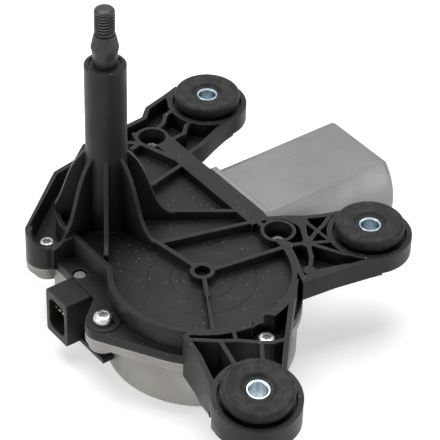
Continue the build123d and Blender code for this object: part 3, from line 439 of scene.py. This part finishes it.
corner_lobe = [*arc(S1, LOBE_R, math.radians(-44.2), math.radians(269)), (-24, 0)]
lobes = [under_lobe(S2), under_lobe(S5), slab(corner_lobe, BELOW_LOBES, LOBE_FOOT)]
casting = add_rod(carved("gearcase", lobes), (-24, -16.1, 0.9), (2.55, 2.35), 3, 40)
gearcase = finished(
    "gearcase_casting", casting, cast_aluminium, "housing"
)
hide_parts("gearcase")


# ---------------------------------------------------------------------------
# Bronze bushes
# Sintered, oil-soaked bronze rings pressed into the case, the can and the
# tower: porous, brown in the pores and yellow where they have run.
# ---------------------------------------------------------------------------
sintered_bronze, tree, shader = new_material("sintered_bronze", (0.42, 0.27, 0.12), 0.42, 0.9)
skin = place_group(tree, skin_grain, Grain=6000, Cloud=600)
tree.links.new(
    shade(
        tree,
        spread(tree, skin.outputs["Height"], 0, 1, 0.38, 0.5),
        (0.12, 0.065, 0.03),
        (0.50, 0.33, 0.15),
    ),
    shader.inputs["Base Color"],
)
tree.links.new(spread(tree, skin.outputs["Cloud"], 0.5, 0.3), shader.inputs["Roughness"])
roughen(tree, shader, skin.outputs["Height"], 0.00003)
wear(sintered_bronze, "nose_bush", "front_bearing", "rear_bearing", "lower_bush", "upper_bush")


# ---------------------------------------------------------------------------
# Worm wheel and thrust pad
# Natural acetal: ivory, slightly waxy, with a film of grease near the teeth.
# The pad that takes the worm's end thrust is the same stuff.
# ---------------------------------------------------------------------------
gear_acetal, tree, shader = new_material("gear_acetal", (0.72, 0.68, 0.56), 0.38)
shader.inputs["Coat Weight"].default_value = 0.25
skin = place_group(tree, skin_grain, Grain=1800, Cloud=160)
tree.links.new(
    shade(
        tree,
        spread(tree, skin.outputs["Cloud"], 0, 1, 0.45, 0.62),
        (0.74, 0.70, 0.58),
        (0.58, 0.49, 0.30),
    ),
    shader.inputs["Base Color"],
)
tree.links.new(spread(tree, skin.outputs["Cloud"], 0.45, 0.22), shader.inputs["Roughness"])
roughen(tree, shader, skin.outputs["Height"], 0.00001)
wear(gear_acetal, "worm_wheel", "thrust_pad")


# ---------------------------------------------------------------------------
# Ground steel parts
# Axle, crank pin, washers, clips, link, rocker arm and armature shaft: turned
# or blanked, ground bright and lightly oiled, with fine tool lines.
# ---------------------------------------------------------------------------
ground_steel, tree, shader = new_material("ground_steel", (0.52, 0.52, 0.53), 0.28, 1.0)
edges = place_group(tree, edge_wear_and_highlight, Radius=0.15 * MM, Width=0.25 * MM)
place = add_node(tree, "ShaderNodeTexCoord")
stretched = add_node(
    tree, "ShaderNodeMapping", {"Vector": place.outputs["Object"], "Scale": (1.0, 0.06, 1.0)}
)
lines = add_node(
    tree,
    "ShaderNodeTexNoise",
    {"Vector": stretched.outputs[0], "Scale": 3500.0, "Detail": 2.0},
)
tree.links.new(
    shade(tree, lines.outputs["Fac"], (0.42, 0.42, 0.43), (0.62, 0.62, 0.62)),
    shader.inputs["Base Color"],
)
tree.links.new(spread(tree, lines.outputs["Fac"], 0.2, 0.4), shader.inputs["Roughness"])
roughen(tree, shader, lines.outputs["Fac"], 0.00001, edges.outputs["Normal"])
wear(
    ground_steel,
    "wheel_axle", "wheel_washer", "wheel_clip", "crank_pin", "crank_pin_clip", "rocker_arm",
    "rocker_pin", "connecting_link", "thrust_washer", "armature_shaft", "brush_springs",
)


# ---------------------------------------------------------------------------
# Rotor laminations
# Half-millimetre stampings stacked on the shaft; the pack shows its edges as
# fine stripes across the axis, slightly oxidised.
# ---------------------------------------------------------------------------
lamination_steel, tree, shader = new_material("lamination_steel", (0.2, 0.2, 0.2), 0.45, 0.9)
place = add_node(tree, "ShaderNodeTexCoord")
stack = add_node(
    tree,
    "ShaderNodeTexWave",
    {"Vector": place.outputs["Object"], "Scale": 314.0, "Distortion": 0.4, "Detail": 1.0},
    wave_type="BANDS", bands_direction="X",
)
oxide = place_group(tree, skin_grain, Grain=2500, Cloud=220)
bare = shade(tree, stack.outputs["Fac"], (0.10, 0.10, 0.11), (0.34, 0.34, 0.35))
tree.links.new(
    shade(
        tree, spread(tree, oxide.outputs["Cloud"], 0, 0.6, 0.5, 0.7), bare, (0.16, 0.09, 0.06)
    ),
    shader.inputs["Base Color"],
)
tree.links.new(spread(tree, oxide.outputs["Cloud"], 0.35, 0.6), shader.inputs["Roughness"])
roughen(tree, shader, stack.outputs["Fac"], 0.00005)
wear(lamination_steel, "rotor_core")


# ---------------------------------------------------------------------------
# Windings and chokes
# Enamelled copper wire, layer on layer, varnished: round strands with painted
# shade in the grooves between them and a red-brown gloss.
# ---------------------------------------------------------------------------
copper_wire, tree, shader = new_material("copper_wire", (0.40, 0.14, 0.05), 0.3, 0.7)
shader.inputs["Coat Weight"].default_value = 0.6
shader.inputs["Coat Roughness"].default_value = 0.15
place = add_node(tree, "ShaderNodeTexCoord")
strands = add_node(
    tree,
    "ShaderNodeTexWave",
    {"Vector": place.outputs["Object"], "Scale": 260.0, "Distortion": 2.5, "Detail": 1.5},
    wave_type="BANDS", bands_direction="DIAGONAL",
)
varnish = place_group(tree, skin_grain, Grain=1500, Cloud=300)
# The dark bands are painted shade in the grooves between the strands.
wire = shade(tree, strands.outputs["Fac"], (0.09, 0.025, 0.01), (0.52, 0.20, 0.07))
tree.links.new(
    shade(tree, spread(tree, varnish.outputs["Cloud"], 0, 0.5, 0.5, 0.7), wire, (0.16, 0.05, 0.02)),
    shader.inputs["Base Color"],
)
tree.links.new(spread(tree, varnish.outputs["Cloud"], 0.2, 0.42), shader.inputs["Roughness"])
roughen(tree, shader, strands.outputs["Fac"], 0.00015)
wear(copper_wire, "windings", "choke_coils")


# ---------------------------------------------------------------------------
# Commutator and brush card
# Copper segments moulded into brown phenolic, with the brush track turned
# into them; the brush card is a stamping of the same paper phenolic.
# ---------------------------------------------------------------------------
phenolic, tree, shader = new_material("phenolic", (0.10, 0.05, 0.025), 0.5)
edges = place_group(tree, edge_wear_and_highlight, Radius=0.2 * MM, Width=0.3 * MM)
skin = place_group(tree, skin_grain, Grain=3000, Cloud=260)
paper = shade(tree, skin.outputs["Cloud"], (0.065, 0.030, 0.015), (0.16, 0.085, 0.045))
tree.links.new(
    shade(tree, edges.outputs["Edge"], paper, (0.24, 0.15, 0.09)), shader.inputs["Base Color"]
)
tree.links.new(spread(tree, skin.outputs["Cloud"], 0.42, 0.6), shader.inputs["Roughness"])
roughen(tree, shader, skin.outputs["Height"], 0.00002, edges.outputs["Normal"])
wear(phenolic, "commutator_hub", "brush_card")

copper_bar, tree, shader = new_material("copper_bar", (0.62, 0.30, 0.17), 0.25, 1.0)
place = add_node(tree, "ShaderNodeTexCoord")
track = add_node(
    tree,
    "ShaderNodeTexWave",
    {"Vector": place.outputs["Object"], "Scale": 900.0, "Distortion": 3.0, "Detail": 2.0},
    wave_type="BANDS", bands_direction="X",
)
tree.links.new(
    shade(tree, track.outputs["Fac"], (0.40, 0.17, 0.09), (0.70, 0.36, 0.21)),
    shader.inputs["Base Color"],
)
tree.links.new(spread(tree, track.outputs["Fac"], 0.22, 0.4), shader.inputs["Roughness"])
roughen(tree, shader, track.outputs["Fac"], 0.00001)
wear(copper_bar, "commutator_bars")


# ---------------------------------------------------------------------------
# Brushes, brush boxes, terminal blades and feed bars
# Pressed carbon blocks slide in folded brass boxes; the blades and bars that
# feed them are tinned brass strip.
# ---------------------------------------------------------------------------
carbon, tree, shader = new_material("carbon", (0.02, 0.02, 0.022), 0.55, 0.3)
skin = place_group(tree, skin_grain, Grain=3500, Cloud=500)
tree.links.new(
    shade(tree, skin.outputs["Height"], (0.012, 0.012, 0.014), (0.05, 0.045, 0.04)),
    shader.inputs["Base Color"],
)
tree.links.new(spread(tree, skin.outputs["Cloud"], 0.4, 0.7), shader.inputs["Roughness"])
roughen(tree, shader, skin.outputs["Height"], 0.00002)
wear(carbon, "brushes")

sheet_brass, tree, shader = new_material("sheet_brass", (0.60, 0.46, 0.20), 0.3, 1.0)
edges = place_group(tree, edge_wear_and_highlight, Radius=0.15 * MM, Width=0.2 * MM)
skin = place_group(tree, skin_grain, Grain=2200, Cloud=180)
rolled = shade(tree, skin.outputs["Cloud"], (0.46, 0.33, 0.13), (0.68, 0.54, 0.26))
tree.links.new(
    shade(tree, edges.outputs["Edge"], rolled, (0.80, 0.68, 0.42)), shader.inputs["Base Color"]
)
tree.links.new(spread(tree, skin.outputs["Cloud"], 0.22, 0.45), shader.inputs["Roughness"])
roughen(tree, shader, skin.outputs["Height"], 0.00001, edges.outputs["Normal"])
wear(sheet_brass, "brush_boxes", "terminal_blades", "feed_bars")


# ---------------------------------------------------------------------------
# Magnets
# Two sintered ferrite arcs glued into the can: charcoal, dry and granular,
# ground smooth on the inside.
# ---------------------------------------------------------------------------
ferrite, tree, shader = new_material("ferrite", (0.055, 0.055, 0.06), 0.6, 0.1)
edges = place_group(tree, edge_wear_and_highlight, Radius=0.3 * MM, Width=0.4 * MM)
skin = place_group(tree, skin_grain, Grain=2500, Cloud=240)
dry = shade(tree, skin.outputs["Cloud"], (0.035, 0.035, 0.04), (0.085, 0.085, 0.09))
tree.links.new(
    shade(tree, edges.outputs["Edge"], dry, (0.15, 0.15, 0.15)), shader.inputs["Base Color"]
)
tree.links.new(spread(tree, skin.outputs["Height"], 0.5, 0.75), shader.inputs["Roughness"])
roughen(tree, shader, skin.outputs["Height"], 0.00003, edges.outputs["Normal"])
wear(ferrite, "magnets")


# ---------------------------------------------------------------------------
# Motor can
# Deep-drawn steel with a satin zinc plating: soft grey, faint draw lines
# along the can, slightly brighter on the lip and corners, partly as a painted
# highlight. The drawing radius runs along its four long edges.
# ---------------------------------------------------------------------------
can_steel, tree, shader = new_material("can_steel", (0.46, 0.47, 0.46), 0.42, 0.9)
edges = place_group(tree, edge_wear_and_highlight, Radius=0.8 * MM, Width=0.6 * MM, Patchiness=400)
skin = place_group(tree, skin_grain, Grain=2400, Cloud=42)
place = add_node(tree, "ShaderNodeTexCoord")
drawn = add_node(
    tree, "ShaderNodeMapping", {"Vector": place.outputs["Object"], "Scale": (0.05, 1.0, 1.0)}
)
draw_lines = add_node(
    tree, "ShaderNodeTexNoise", {"Vector": drawn.outputs[0], "Scale": 1400.0, "Detail": 3.0}
)
plated = shade(tree, skin.outputs["Cloud"], (0.165, 0.17, 0.168), (0.285, 0.288, 0.28))
lined = shade(tree, spread(tree, draw_lines.outputs["Fac"], 0, 0.22), plated, (0.15, 0.15, 0.147))
# The lighter edges are partly rubbed wear and partly a painted highlight.
tree.links.new(
    shade(tree, edges.outputs["Edge"], lined, (0.42, 0.42, 0.41)), shader.inputs["Base Color"]
)
tree.links.new(spread(tree, skin.outputs["Cloud"], 0.52, 0.40), shader.inputs["Roughness"])
roughen(tree, shader, skin.outputs["Height"], 0.00002, edges.outputs["Normal"])

CAN_AXIS = Vector((0, -0.0158, -0.1059))
CAN_R, CAN_FLAT, CAN_EDGE = 24.3, 17.5, 4.0
CAN_CUT = (57.0, 118.0)
END_FACE = (0.100, 0.1161)  # where along X the drawn end's face lies, in metres
END_SHIFT = 2.5


def long_edge(side, top):
    """What the drawing radius takes off one long edge of the can."""
    rise = CAN_FLAT - CAN_EDGE
    reach = math.sqrt((CAN_R - CAN_EDGE) ** 2 - rise**2)
    meets = math.atan2(rise, reach)
    rounded = arc((reach, rise), CAN_EDGE, meets, math.pi / 2, 10)
    past_side, past_top = reach + 4.6, CAN_FLAT + 1.2
    outline = [*rounded, (reach, past_top), (past_side, past_top), (past_side, rise + 3.6)]
    outline = [(side * x, top * y) for x, y in outline]
    cutter = slab(outline, CAN_CUT[0] + SPLIT, CAN_CUT[1] + SPLIT)
    lay_along_x = Matrix(((0, 0, 1, 0), (1, 0, 0, 0), (0, 1, 0, 0), (0, 0, 0, 1)))
    cutter.transform(Matrix.Translation(CAN_AXIS) @ lay_along_x)
    return cutter


drawn_can = carved("yoke", [long_edge(side, top) for side in (1, -1) for top in (1, -1)])
for vertex in drawn_can.verts:
    if END_FACE[0] < vertex.co.x < END_FACE[1]:
        vertex.co.x += END_SHIFT * MM
can = finished("can_drawn", drawn_can, can_steel, "housing")
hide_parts("yoke")


# ---------------------------------------------------------------------------
# Sensor board and its chips
# A small green board in the case's pocket: copper tracks show as lighter
# lines under the solder mask. The chips are matt black epoxy.
# ---------------------------------------------------------------------------
circuit_board, tree, shader = new_material("circuit_board", (0.01, 0.10, 0.035), 0.35)
shader.inputs["Coat Weight"].default_value = 0.4
place = add_node(tree, "ShaderNodeTexCoord")
tracks = add_node(
    tree,
    "ShaderNodeTexBrick",
    {
        "Vector": place.outputs["Object"], "Scale": 220.0, "Mortar Size": 0.06,
        "Color1": (0.008, 0.085, 0.03, 1), "Color2": (0.010, 0.105, 0.04, 1),
        "Mortar": (0.035, 0.20, 0.075, 1),
    },
)
tree.links.new(tracks.outputs["Color"], shader.inputs["Base Color"])
skin = place_group(tree, skin_grain, Grain=3000, Cloud=300)
tree.links.new(spread(tree, skin.outputs["Cloud"], 0.28, 0.42), shader.inputs["Roughness"])
roughen(tree, shader, tracks.outputs["Fac"], -0.00003)
wear(circuit_board, "sensor_board")

chip_epoxy, tree, shader = new_material("chip_epoxy", (0.018, 0.018, 0.02), 0.55)
edges = place_group(tree, edge_wear_and_highlight, Radius=0.12 * MM, Width=0.2 * MM)
skin = place_group(tree, skin_grain, Grain=9000, Cloud=700)
tree.links.new(
    shade(tree, edges.outputs["Edge"], (0.016, 0.016, 0.018), (0.06, 0.06, 0.06)),
    shader.inputs["Base Color"],
)
tree.links.new(spread(tree, skin.outputs["Cloud"], 0.45, 0.65), shader.inputs["Roughness"])
roughen(tree, shader, skin.outputs["Height"], 0.00001, edges.outputs["Normal"])
wear(chip_epoxy, "board_chips")


# ---------------------------------------------------------------------------
# Housing gasket and spindle seal
# Pressed black rubber: a frame between the case and the cover, of which only
# the dull edge shows, and a ring in the tower's mouth.
# ---------------------------------------------------------------------------
gasket_rubber, tree, shader = new_material("gasket_rubber", (0.016, 0.016, 0.017), 0.75)
skin = place_group(tree, skin_grain, Grain=3200, Cloud=200)
tree.links.new(
    shade(tree, skin.outputs["Cloud"], (0.010, 0.010, 0.011), (0.028, 0.028, 0.028)),
    shader.inputs["Base Color"],
)
tree.links.new(spread(tree, skin.outputs["Cloud"], 0.68, 0.85), shader.inputs["Roughness"])
roughen(tree, shader, skin.outputs["Height"], 0.00003)
wear(gasket_rubber, "housing_gasket", "spindle_seal")


# ---------------------------------------------------------------------------
# Cover
# One glass-filled black nylon moulding: tower, ribbed deck and three arms.
# Satin from the tool, greyer on rib tops and corners partly as a painted
# highlight, darker in its pockets as painted shade, with flow clouds and specks
# of dust. Low round steps lie in the floor over the wheel. The connector is of the same nylon.
# ---------------------------------------------------------------------------
def dust_group():
    """Small pale specks, thick on what faces up."""
    group, given, made = new_group(
        "dust", {"Scale": 700.0, "Amount": 0.12}, {"Speck": "NodeSocketFloat"}
    )
    place = add_node(group, "ShaderNodeTexCoord")
    cells = add_node(
        group,
        "ShaderNodeTexVoronoi",
        {"Vector": place.outputs["Object"], "Scale": given.outputs["Scale"], "Randomness": 1.0},
    )
    chance = add_node(group, "ShaderNodeSeparateColor", {"Color": cells.outputs["Color"]})
    size = add_node(
        group,
        "ShaderNodeMath",
        {0: chance.outputs["Red"], 1: given.outputs["Amount"]},
        operation="MULTIPLY",
    )
    inside = add_node(
        group, "ShaderNodeMath", {0: cells.outputs["Distance"], 1: size.outputs[0]},
        operation="LESS_THAN",
    )
    way = add_node(group, "ShaderNodeNewGeometry")
    up = add_node(group, "ShaderNodeSeparateXYZ", {"Vector": way.outputs["Normal"]})
    lying = add_node(
        group, "ShaderNodeMapRange",
        {"Value": up.outputs["Z"], "From Min": 0.2, "From Max": 0.9, "To Min": 0.15},
    )
    speck = add_node(
        group, "ShaderNodeMath", {0: inside.outputs[0], 1: lying.outputs[0]}, operation="MULTIPLY"
    )
    group.links.new(speck.outputs[0], made.inputs["Speck"])
    return group


dust = dust_group()

black_nylon, tree, shader = new_material("black_nylon", (0.028, 0.028, 0.028), 0.45)
shader.inputs["Specular IOR Level"].default_value = 0.2
edges = place_group(tree, edge_wear_and_highlight, Radius=0.6 * MM, Width=0.6 * MM, Patchiness=500)
skin = place_group(tree, skin_grain, Grain=3000, Cloud=110)
hollow = place_group(tree, recess, Reach=8 * MM)
specks = place_group(tree, dust, Scale=520, Amount=0.14)
flow = shade(tree, skin.outputs["Cloud"], (0.012, 0.012, 0.012), (0.026, 0.026, 0.025))
# Painted shade: the colour goes near black in pockets and corners, where little light reaches.
pocket_shade = shade(tree, hollow.outputs["Deep"], flow, (0.004, 0.004, 0.004))
# Rib tops and edges are lighter: partly rubbed wear, partly a painted highlight.
rubbed_and_highlit = shade(tree, edges.outputs["Edge"], pocket_shade, (0.085, 0.085, 0.083))
tree.links.new(
    shade(tree, specks.outputs["Speck"], rubbed_and_highlit, (0.24, 0.23, 0.20)), shader.inputs["Base Color"]
)
tree.links.new(spread(tree, skin.outputs["Cloud"], 0.50, 0.36), shader.inputs["Roughness"])
roughen(tree, shader, skin.outputs["Height"], 0.00002, edges.outputs["Normal"])
wear(black_nylon, "connector")

POT_WALL_R = 34.4
POT_HUB_R = 15.0
DECK_TOP = 8.8
RIB_TOP = 13.0
RIB_WAY = math.radians(240.35)
RIB_ROOM = 0.85 / POT_WALL_R * 1.05  # half the rib that stays, as an angle at the wall


def pot_slice(start, end):
    """Clear space over the pot's floor between two headings from its middle."""
    outline = arc(WHEEL, POT_WALL_R, start, end, 40) + arc(WHEEL, POT_HUB_R, end, start, 12)
    return slab(outline, DECK_TOP, RIB_TOP + 3)


# Where the third arm's root would fill the pot, on both sides of its rib.
root = [
    pot_slice(math.radians(222), RIB_WAY - RIB_ROOM),
    pot_slice(RIB_WAY + RIB_ROOM, math.radians(318)),
]

# The hollow in the wall round the corner screw.
DIP_WAY = math.radians(-118)
DIP_REACH = 7
DIP_R = 7.5
dip_middle = (
    S1[0] + DIP_REACH * math.cos(DIP_WAY), S1[1] + DIP_REACH * math.sin(DIP_WAY), 17.1
)
dip_turn = Matrix.Rotation(DIP_WAY, 4, "Z") @ Matrix.Rotation(math.radians(90), 4, "Y")
dip = add_rod(bmesh.new(), dip_middle, (DIP_R, DIP_R), 14, 64, dip_turn)

# The flange beside the rocker's dome, which the tower's webs leave clear.
FLANGE_TOP = 3.3
ROCKER_DOME_R = 20.6
dome_side = arc((0, 0), ROCKER_DOME_R, math.radians(98), math.radians(176), 20)
flange = slab(
    [(-30.9, 9.15), (-3.2, 31.4), *dome_side, (-24, 3), (-28, 8.6)], FLANGE_TOP, 60
)

# Round steps in the floor over the wheel, each sunk a little into it.
SUNK = 0.6
SLOPE = 0.4
steps = [
    add_rod(
        bmesh.new(), (*WHEEL, DECK_TOP + (rise - SUNK) / 2), (radius + SLOPE, radius), rise + SUNK,
        96,
    )
    for radius, rise in ((20.8, 0.2), (12.3, 0.45), (8.4, 0.65))
]

# Raised seats for the two screws beside the can.
SEAT_R = 6.0
seats = [add_rod(bmesh.new(), (*place, 4.2), (SEAT_R, SEAT_R), 1.6, 48) for place in (S3, S4)]

moulding = carved("cover", [*root, dip, flange], [*steps, *seats])
cover = finished("cover_moulding", moulding, black_nylon, "housing")
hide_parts("cover")


# ---------------------------------------------------------------------------
# Spindle
# Turned steel, grey phosphate: plain shaft, knurled cone for the wiper arm
# and an M8 stub with a plain domed tip.
# ---------------------------------------------------------------------------
def turned(mesh, profile, steps):
    """Spins a line of (radius, height) points, in millimetres, round Z."""
    line = [mesh.verts.new((radius * MM, 0, height * MM)) for radius, height in profile]
    edges = [mesh.edges.new(pair) for pair in zip(line, line[1:])]
    bmesh.ops.spin(
        mesh, geom=line + edges, cent=(0, 0, 0), axis=(0, 0, 1),
        angle=2 * math.pi, steps=steps, use_merge=True,
    )
    bmesh.ops.remove_doubles(mesh, verts=mesh.verts, dist=1e-7)


def wind_thread(mesh, root, crest, pitch, low, turns, steps=32):
    """Sweeps one ridge round Z and up, in millimetres; both ends run out."""
    corners = (
        (root - 0.25, low), (crest, low + 0.40 * pitch),
        (crest, low + 0.56 * pitch), (root - 0.25, low + 0.98 * pitch),
    )
    ring = [mesh.verts.new((radius * MM, 0, height * MM)) for radius, height in corners]
    ridge = mesh.faces.new(ring)
    bmesh.ops.spin(
        mesh, geom=[ridge, *ridge.edges, *ring], cent=(0, 0, 0), axis=(0, 0, 1),
        dvec=(0, 0, pitch * MM / steps), angle=2 * math.pi * turns, steps=int(steps * turns),
    )


SPINDLE_PROFILE = [
    (0, -96.2), (3.6, -96.2), (3.9, -95.9), (3.9, -92.4), (4.55, -92.4), (4.85, -92.1),
    (4.85, -9.6), (4.9, -9.2), (5.25, -6.6), (5.4, -6.0), (5.38, -5.6), (4.3, -0.7),
    (4.1, -0.35), (3.3, -0.2), (3.2, 0), (3.2, 8.7), (3.9, 9.2), (3.98, 9.5), (3.9, 10.0),
    (3.5, 10.55), (2.7, 10.9), (1.5, 11.06), (0, 11.1),
]
SPINDLE_SIDES = 96
KNURL = (-6.05, -0.6)
GROOVE = 0.965
phosphate, tree, shader = new_material("phosphate", (0.05, 0.05, 0.052), 0.38, 0.6)
edges = place_group(tree, edge_wear_and_highlight, Radius=0.1 * MM, Width=0.25 * MM)
skin = place_group(tree, skin_grain, Grain=5000, Cloud=260)
crystals = shade(tree, skin.outputs["Cloud"], (0.024, 0.024, 0.027), (0.062, 0.062, 0.066))
tree.links.new(
    shade(tree, edges.outputs["Edge"], crystals, (0.26, 0.26, 0.26)), shader.inputs["Base Color"]
)
tree.links.new(spread(tree, skin.outputs["Cloud"], 0.30, 0.46), shader.inputs["Roughness"])
roughen(tree, shader, skin.outputs["Height"], 0.00001, edges.outputs["Normal"])

mesh = bmesh.new()
turned(mesh, SPINDLE_PROFILE, SPINDLE_SIDES)
for vertex in mesh.verts:
    if KNURL[0] * MM < vertex.co.z < KNURL[1] * MM:
        turn = math.atan2(vertex.co.y, vertex.co.x) / (2 * math.pi)
        if round(turn * SPINDLE_SIDES) % 2:
            vertex.co.x *= GROOVE
            vertex.co.y *= GROOVE
wind_thread(mesh, root=3.2, crest=4.0, pitch=1.25, low=-0.3, turns=7.2, steps=36)
spindle = finished("spindle_turned", mesh, phosphate, "output")
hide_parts("spindle")


# ---------------------------------------------------------------------------
# Screws
# Five zinc-plated pan heads hold the cover, and two smaller ones the can.
# Each has a six-lobe recess and a rolled thread.
# ---------------------------------------------------------------------------
def pan_head(mesh, radius, height, shank, length, pitch, recess, depth):
    """One screw standing on Z, its head's seat at zero, in millimetres."""
    turned(
        mesh,
        [
            (0, -length), (shank * 0.55, -length + 0.1), (shank * 0.8, -length + 1.2),
            (shank * 0.8, -0.4), (shank, -0.1), (shank, 0), (radius * 0.97, 0), (radius, 0.2),
            (radius, height * 0.38), (radius * 0.93, height * 0.72), (radius * 0.76, height * 0.93),
            (radius * 0.56, height), (recess * 1.12, height),
        ],
        48,
    )
    rim = [edge for edge in mesh.edges if edge.is_boundary]
    for size, drop in ((1.0, 0.0), (0.94, 0.12), (0.92, depth)):
        grown = bmesh.ops.extrude_edge_only(mesh, edges=rim)["geom"]
        rim = [item for item in grown if isinstance(item, bmesh.types.BMEdge)]
        for vertex in {vertex for edge in rim for vertex in edge.verts}:
            angle = math.atan2(vertex.co.y, vertex.co.x)
            reach = recess * size * (0.86 + 0.14 * math.cos(6 * angle)) * MM
            vertex.co = (reach * math.cos(angle), reach * math.sin(angle), (height - drop) * MM)
    bmesh.ops.edgeloop_fill(mesh, edges=rim)
    wind_thread(mesh, shank * 0.8, shank, pitch, -length + 1.0, (length - 2.4) / pitch, 20)


def add_screws(name, stands, size):
    """One piece with a screw at each matrix, its sizes as pan_head takes them."""
    whole = bmesh.new()
    for matrix in stands:
        one = bmesh.new()
        pan_head(one, *size)
        one.transform(matrix)
        copy = bpy.data.meshes.new("one_screw")
        one.to_mesh(copy)
        one.free()
        whole.from_mesh(copy)
        bpy.data.meshes.remove(copy)
    return finished(name, whole, bright_zinc, "housing")


bright_zinc, tree, shader = new_material("bright_zinc", (0.60, 0.60, 0.58), 0.3, 1.0)
edges = place_group(tree, edge_wear_and_highlight, Radius=0.1 * MM, Width=0.25 * MM)
skin = place_group(tree, skin_grain, Grain=4500, Cloud=500)
plated = shade(tree, skin.outputs["Cloud"], (0.44, 0.44, 0.42), (0.66, 0.66, 0.65))
tree.links.new(
    shade(tree, edges.outputs["Edge"], plated, (0.82, 0.82, 0.82)), shader.inputs["Base Color"]
)
tree.links.new(spread(tree, skin.outputs["Cloud"], 0.38, 0.22), shader.inputs["Roughness"])
roughen(tree, shader, skin.outputs["Height"], 0.00001, edges.outputs["Normal"])

# Head radius and height, shank radius, length, pitch, recess radius and depth.
COVER_SCREW_SIZE = (4.0, 3.2, 2.3, 10.6, 0.7, 2.0, 1.8)
CAN_SCREW_SIZE = (3.5, 2.4, 1.95, 9.0, 0.7, 1.8, 1.5)

# Each screw's place, its seat's height over the split plane and its turn.
COVER_SCREWS = [(S1, 3.8, 20), (S2, 3.8, 5), (S5, 3.8, 40), (S4, 5.0, 12), (S3, 5.0, 50)]
cover_screws = add_screws(
    "cover_screw_set",
    [
        Matrix.Translation((x * MM, y * MM, (seat - SPLIT) * MM))
        @ Matrix.Rotation(math.radians(turn), 4, "Z")
        for (x, y), seat, turn in COVER_SCREWS
    ],
    COVER_SCREW_SIZE,
)
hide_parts("cover_screws")

head_radius, head_height = CAN_SCREW_SIZE[:2]
low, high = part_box("yoke_screws")
can_screws = add_screws(
    "can_screw_set",
    [
        Matrix.Translation((high.x - head_height * MM, y, CAN_AXIS.z))
        @ Matrix.Rotation(math.radians(90), 4, "Y")
        for y in (low.y + head_radius * MM, high.y - head_radius * MM)
    ],
    CAN_SCREW_SIZE,
)
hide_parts("yoke_screws")


# ---------------------------------------------------------------------------
# Rubber mounts and their sleeves
# Each foot carries a moulded grommet, buttoned through the socket, round a
# zinc-plated steel sleeve that takes the body's bolt.
# ---------------------------------------------------------------------------
mount_rubber, tree, shader = new_material("mount_rubber", (0.028, 0.028, 0.028), 0.6)
shader.inputs["Specular IOR Level"].default_value = 0.22
edges = place_group(tree, edge_wear_and_highlight, Radius=0.3 * MM, Width=0.6 * MM, Patchiness=300)
skin = place_group(tree, skin_grain, Grain=1800, Cloud=260)
specks = place_group(tree, dust, Scale=520, Amount=0.10)
bloomed = spread(tree, skin.outputs["Cloud"], 0, 1, 0.38, 0.68)
bloom = shade(tree, bloomed, (0.010, 0.010, 0.010), (0.026, 0.026, 0.025))
rubbed_and_highlit = shade(tree, edges.outputs["Edge"], bloom, (0.055, 0.054, 0.053))
tree.links.new(
    shade(tree, specks.outputs["Speck"], rubbed_and_highlit, (0.20, 0.19, 0.18)), shader.inputs["Base Color"]
)
tree.links.new(spread(tree, skin.outputs["Cloud"], 0.62, 0.5), shader.inputs["Roughness"])
roughen(tree, shader, skin.outputs["Height"], 0.00005, edges.outputs["Normal"])

blue_zinc, tree, shader = new_material("blue_zinc", (0.50, 0.58, 0.62), 0.24, 1.0)
skin = place_group(tree, skin_grain, Grain=3500, Cloud=420)
tree.links.new(
    shade(tree, skin.outputs["Cloud"], (0.40, 0.50, 0.56), (0.66, 0.72, 0.76)),
    shader.inputs["Base Color"],
)
tree.links.new(spread(tree, skin.outputs["Cloud"], 0.18, 0.34), shader.inputs["Roughness"])
roughen(tree, shader, skin.outputs["Height"], 0.00001)

GROMMET_PROFILE = [
    (4.6, -7.6), (12.1, -7.6), (12.4, -7.3), (12.4, -3.3), (12.1, -3.0), (8.35, -3.0), (8.35, 0),
    (10.5, 0), (10.8, 0.3), (10.8, 2.9), (11.1, 3.2), (12.7, 3.2), (13.4, 3.45), (13.72, 4.1),
    (13.75, 6.2), (13.5, 7.1), (12.9, 7.62), (12.1, 7.8), (11.5, 7.74), (11.1, 7.55),
    (10.6, 7.5), (7.3, 7.5), (6.6, 7.35), (6.1, 6.9), (5.85, 6.3), (5.7, 6.2), (4.6, 6.2),
    (4.6, -7.6),
]
SLEEVE_PROFILE = [
    (3.5, -8.4), (3.8, -8.8), (7.8, -8.8), (8.0, -8.6), (8.0, -7.8), (7.8, -7.6), (4.6, -7.6),
    (4.6, 5.8), (4.25, 6.2), (3.85, 6.2), (3.5, 5.85), (3.5, -8.4),
]
ABOVE_BORE = 1.3  # from the bore's mount up to the profiles' zero
for number in (1, 2, 3):
    bore = mounts[f"foot_{number}_bore"]
    axis = Vector(bore["axis"]).normalized()
    stand = Matrix.Translation(Vector(bore["pos_m"]) + axis * ABOVE_BORE * MM)
    stand @= Vector((0, 0, 1)).rotation_difference(axis).to_matrix().to_4x4()

    mesh = bmesh.new()
    turned(mesh, GROMMET_PROFILE, 72)
    mesh.transform(stand)
    grommet = finished(
        f"grommet_{number}_rubber", mesh, mount_rubber, "housing", smooth=50
    )
    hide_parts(f"grommet_{number}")

    mesh = bmesh.new()
    turned(mesh, SLEEVE_PROFILE, 64)
    mesh.transform(stand)
    sleeve = finished(
        f"mount_sleeve_{number}_zinc", mesh, blue_zinc, "housing"
    )
    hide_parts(f"mount_sleeve_{number}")
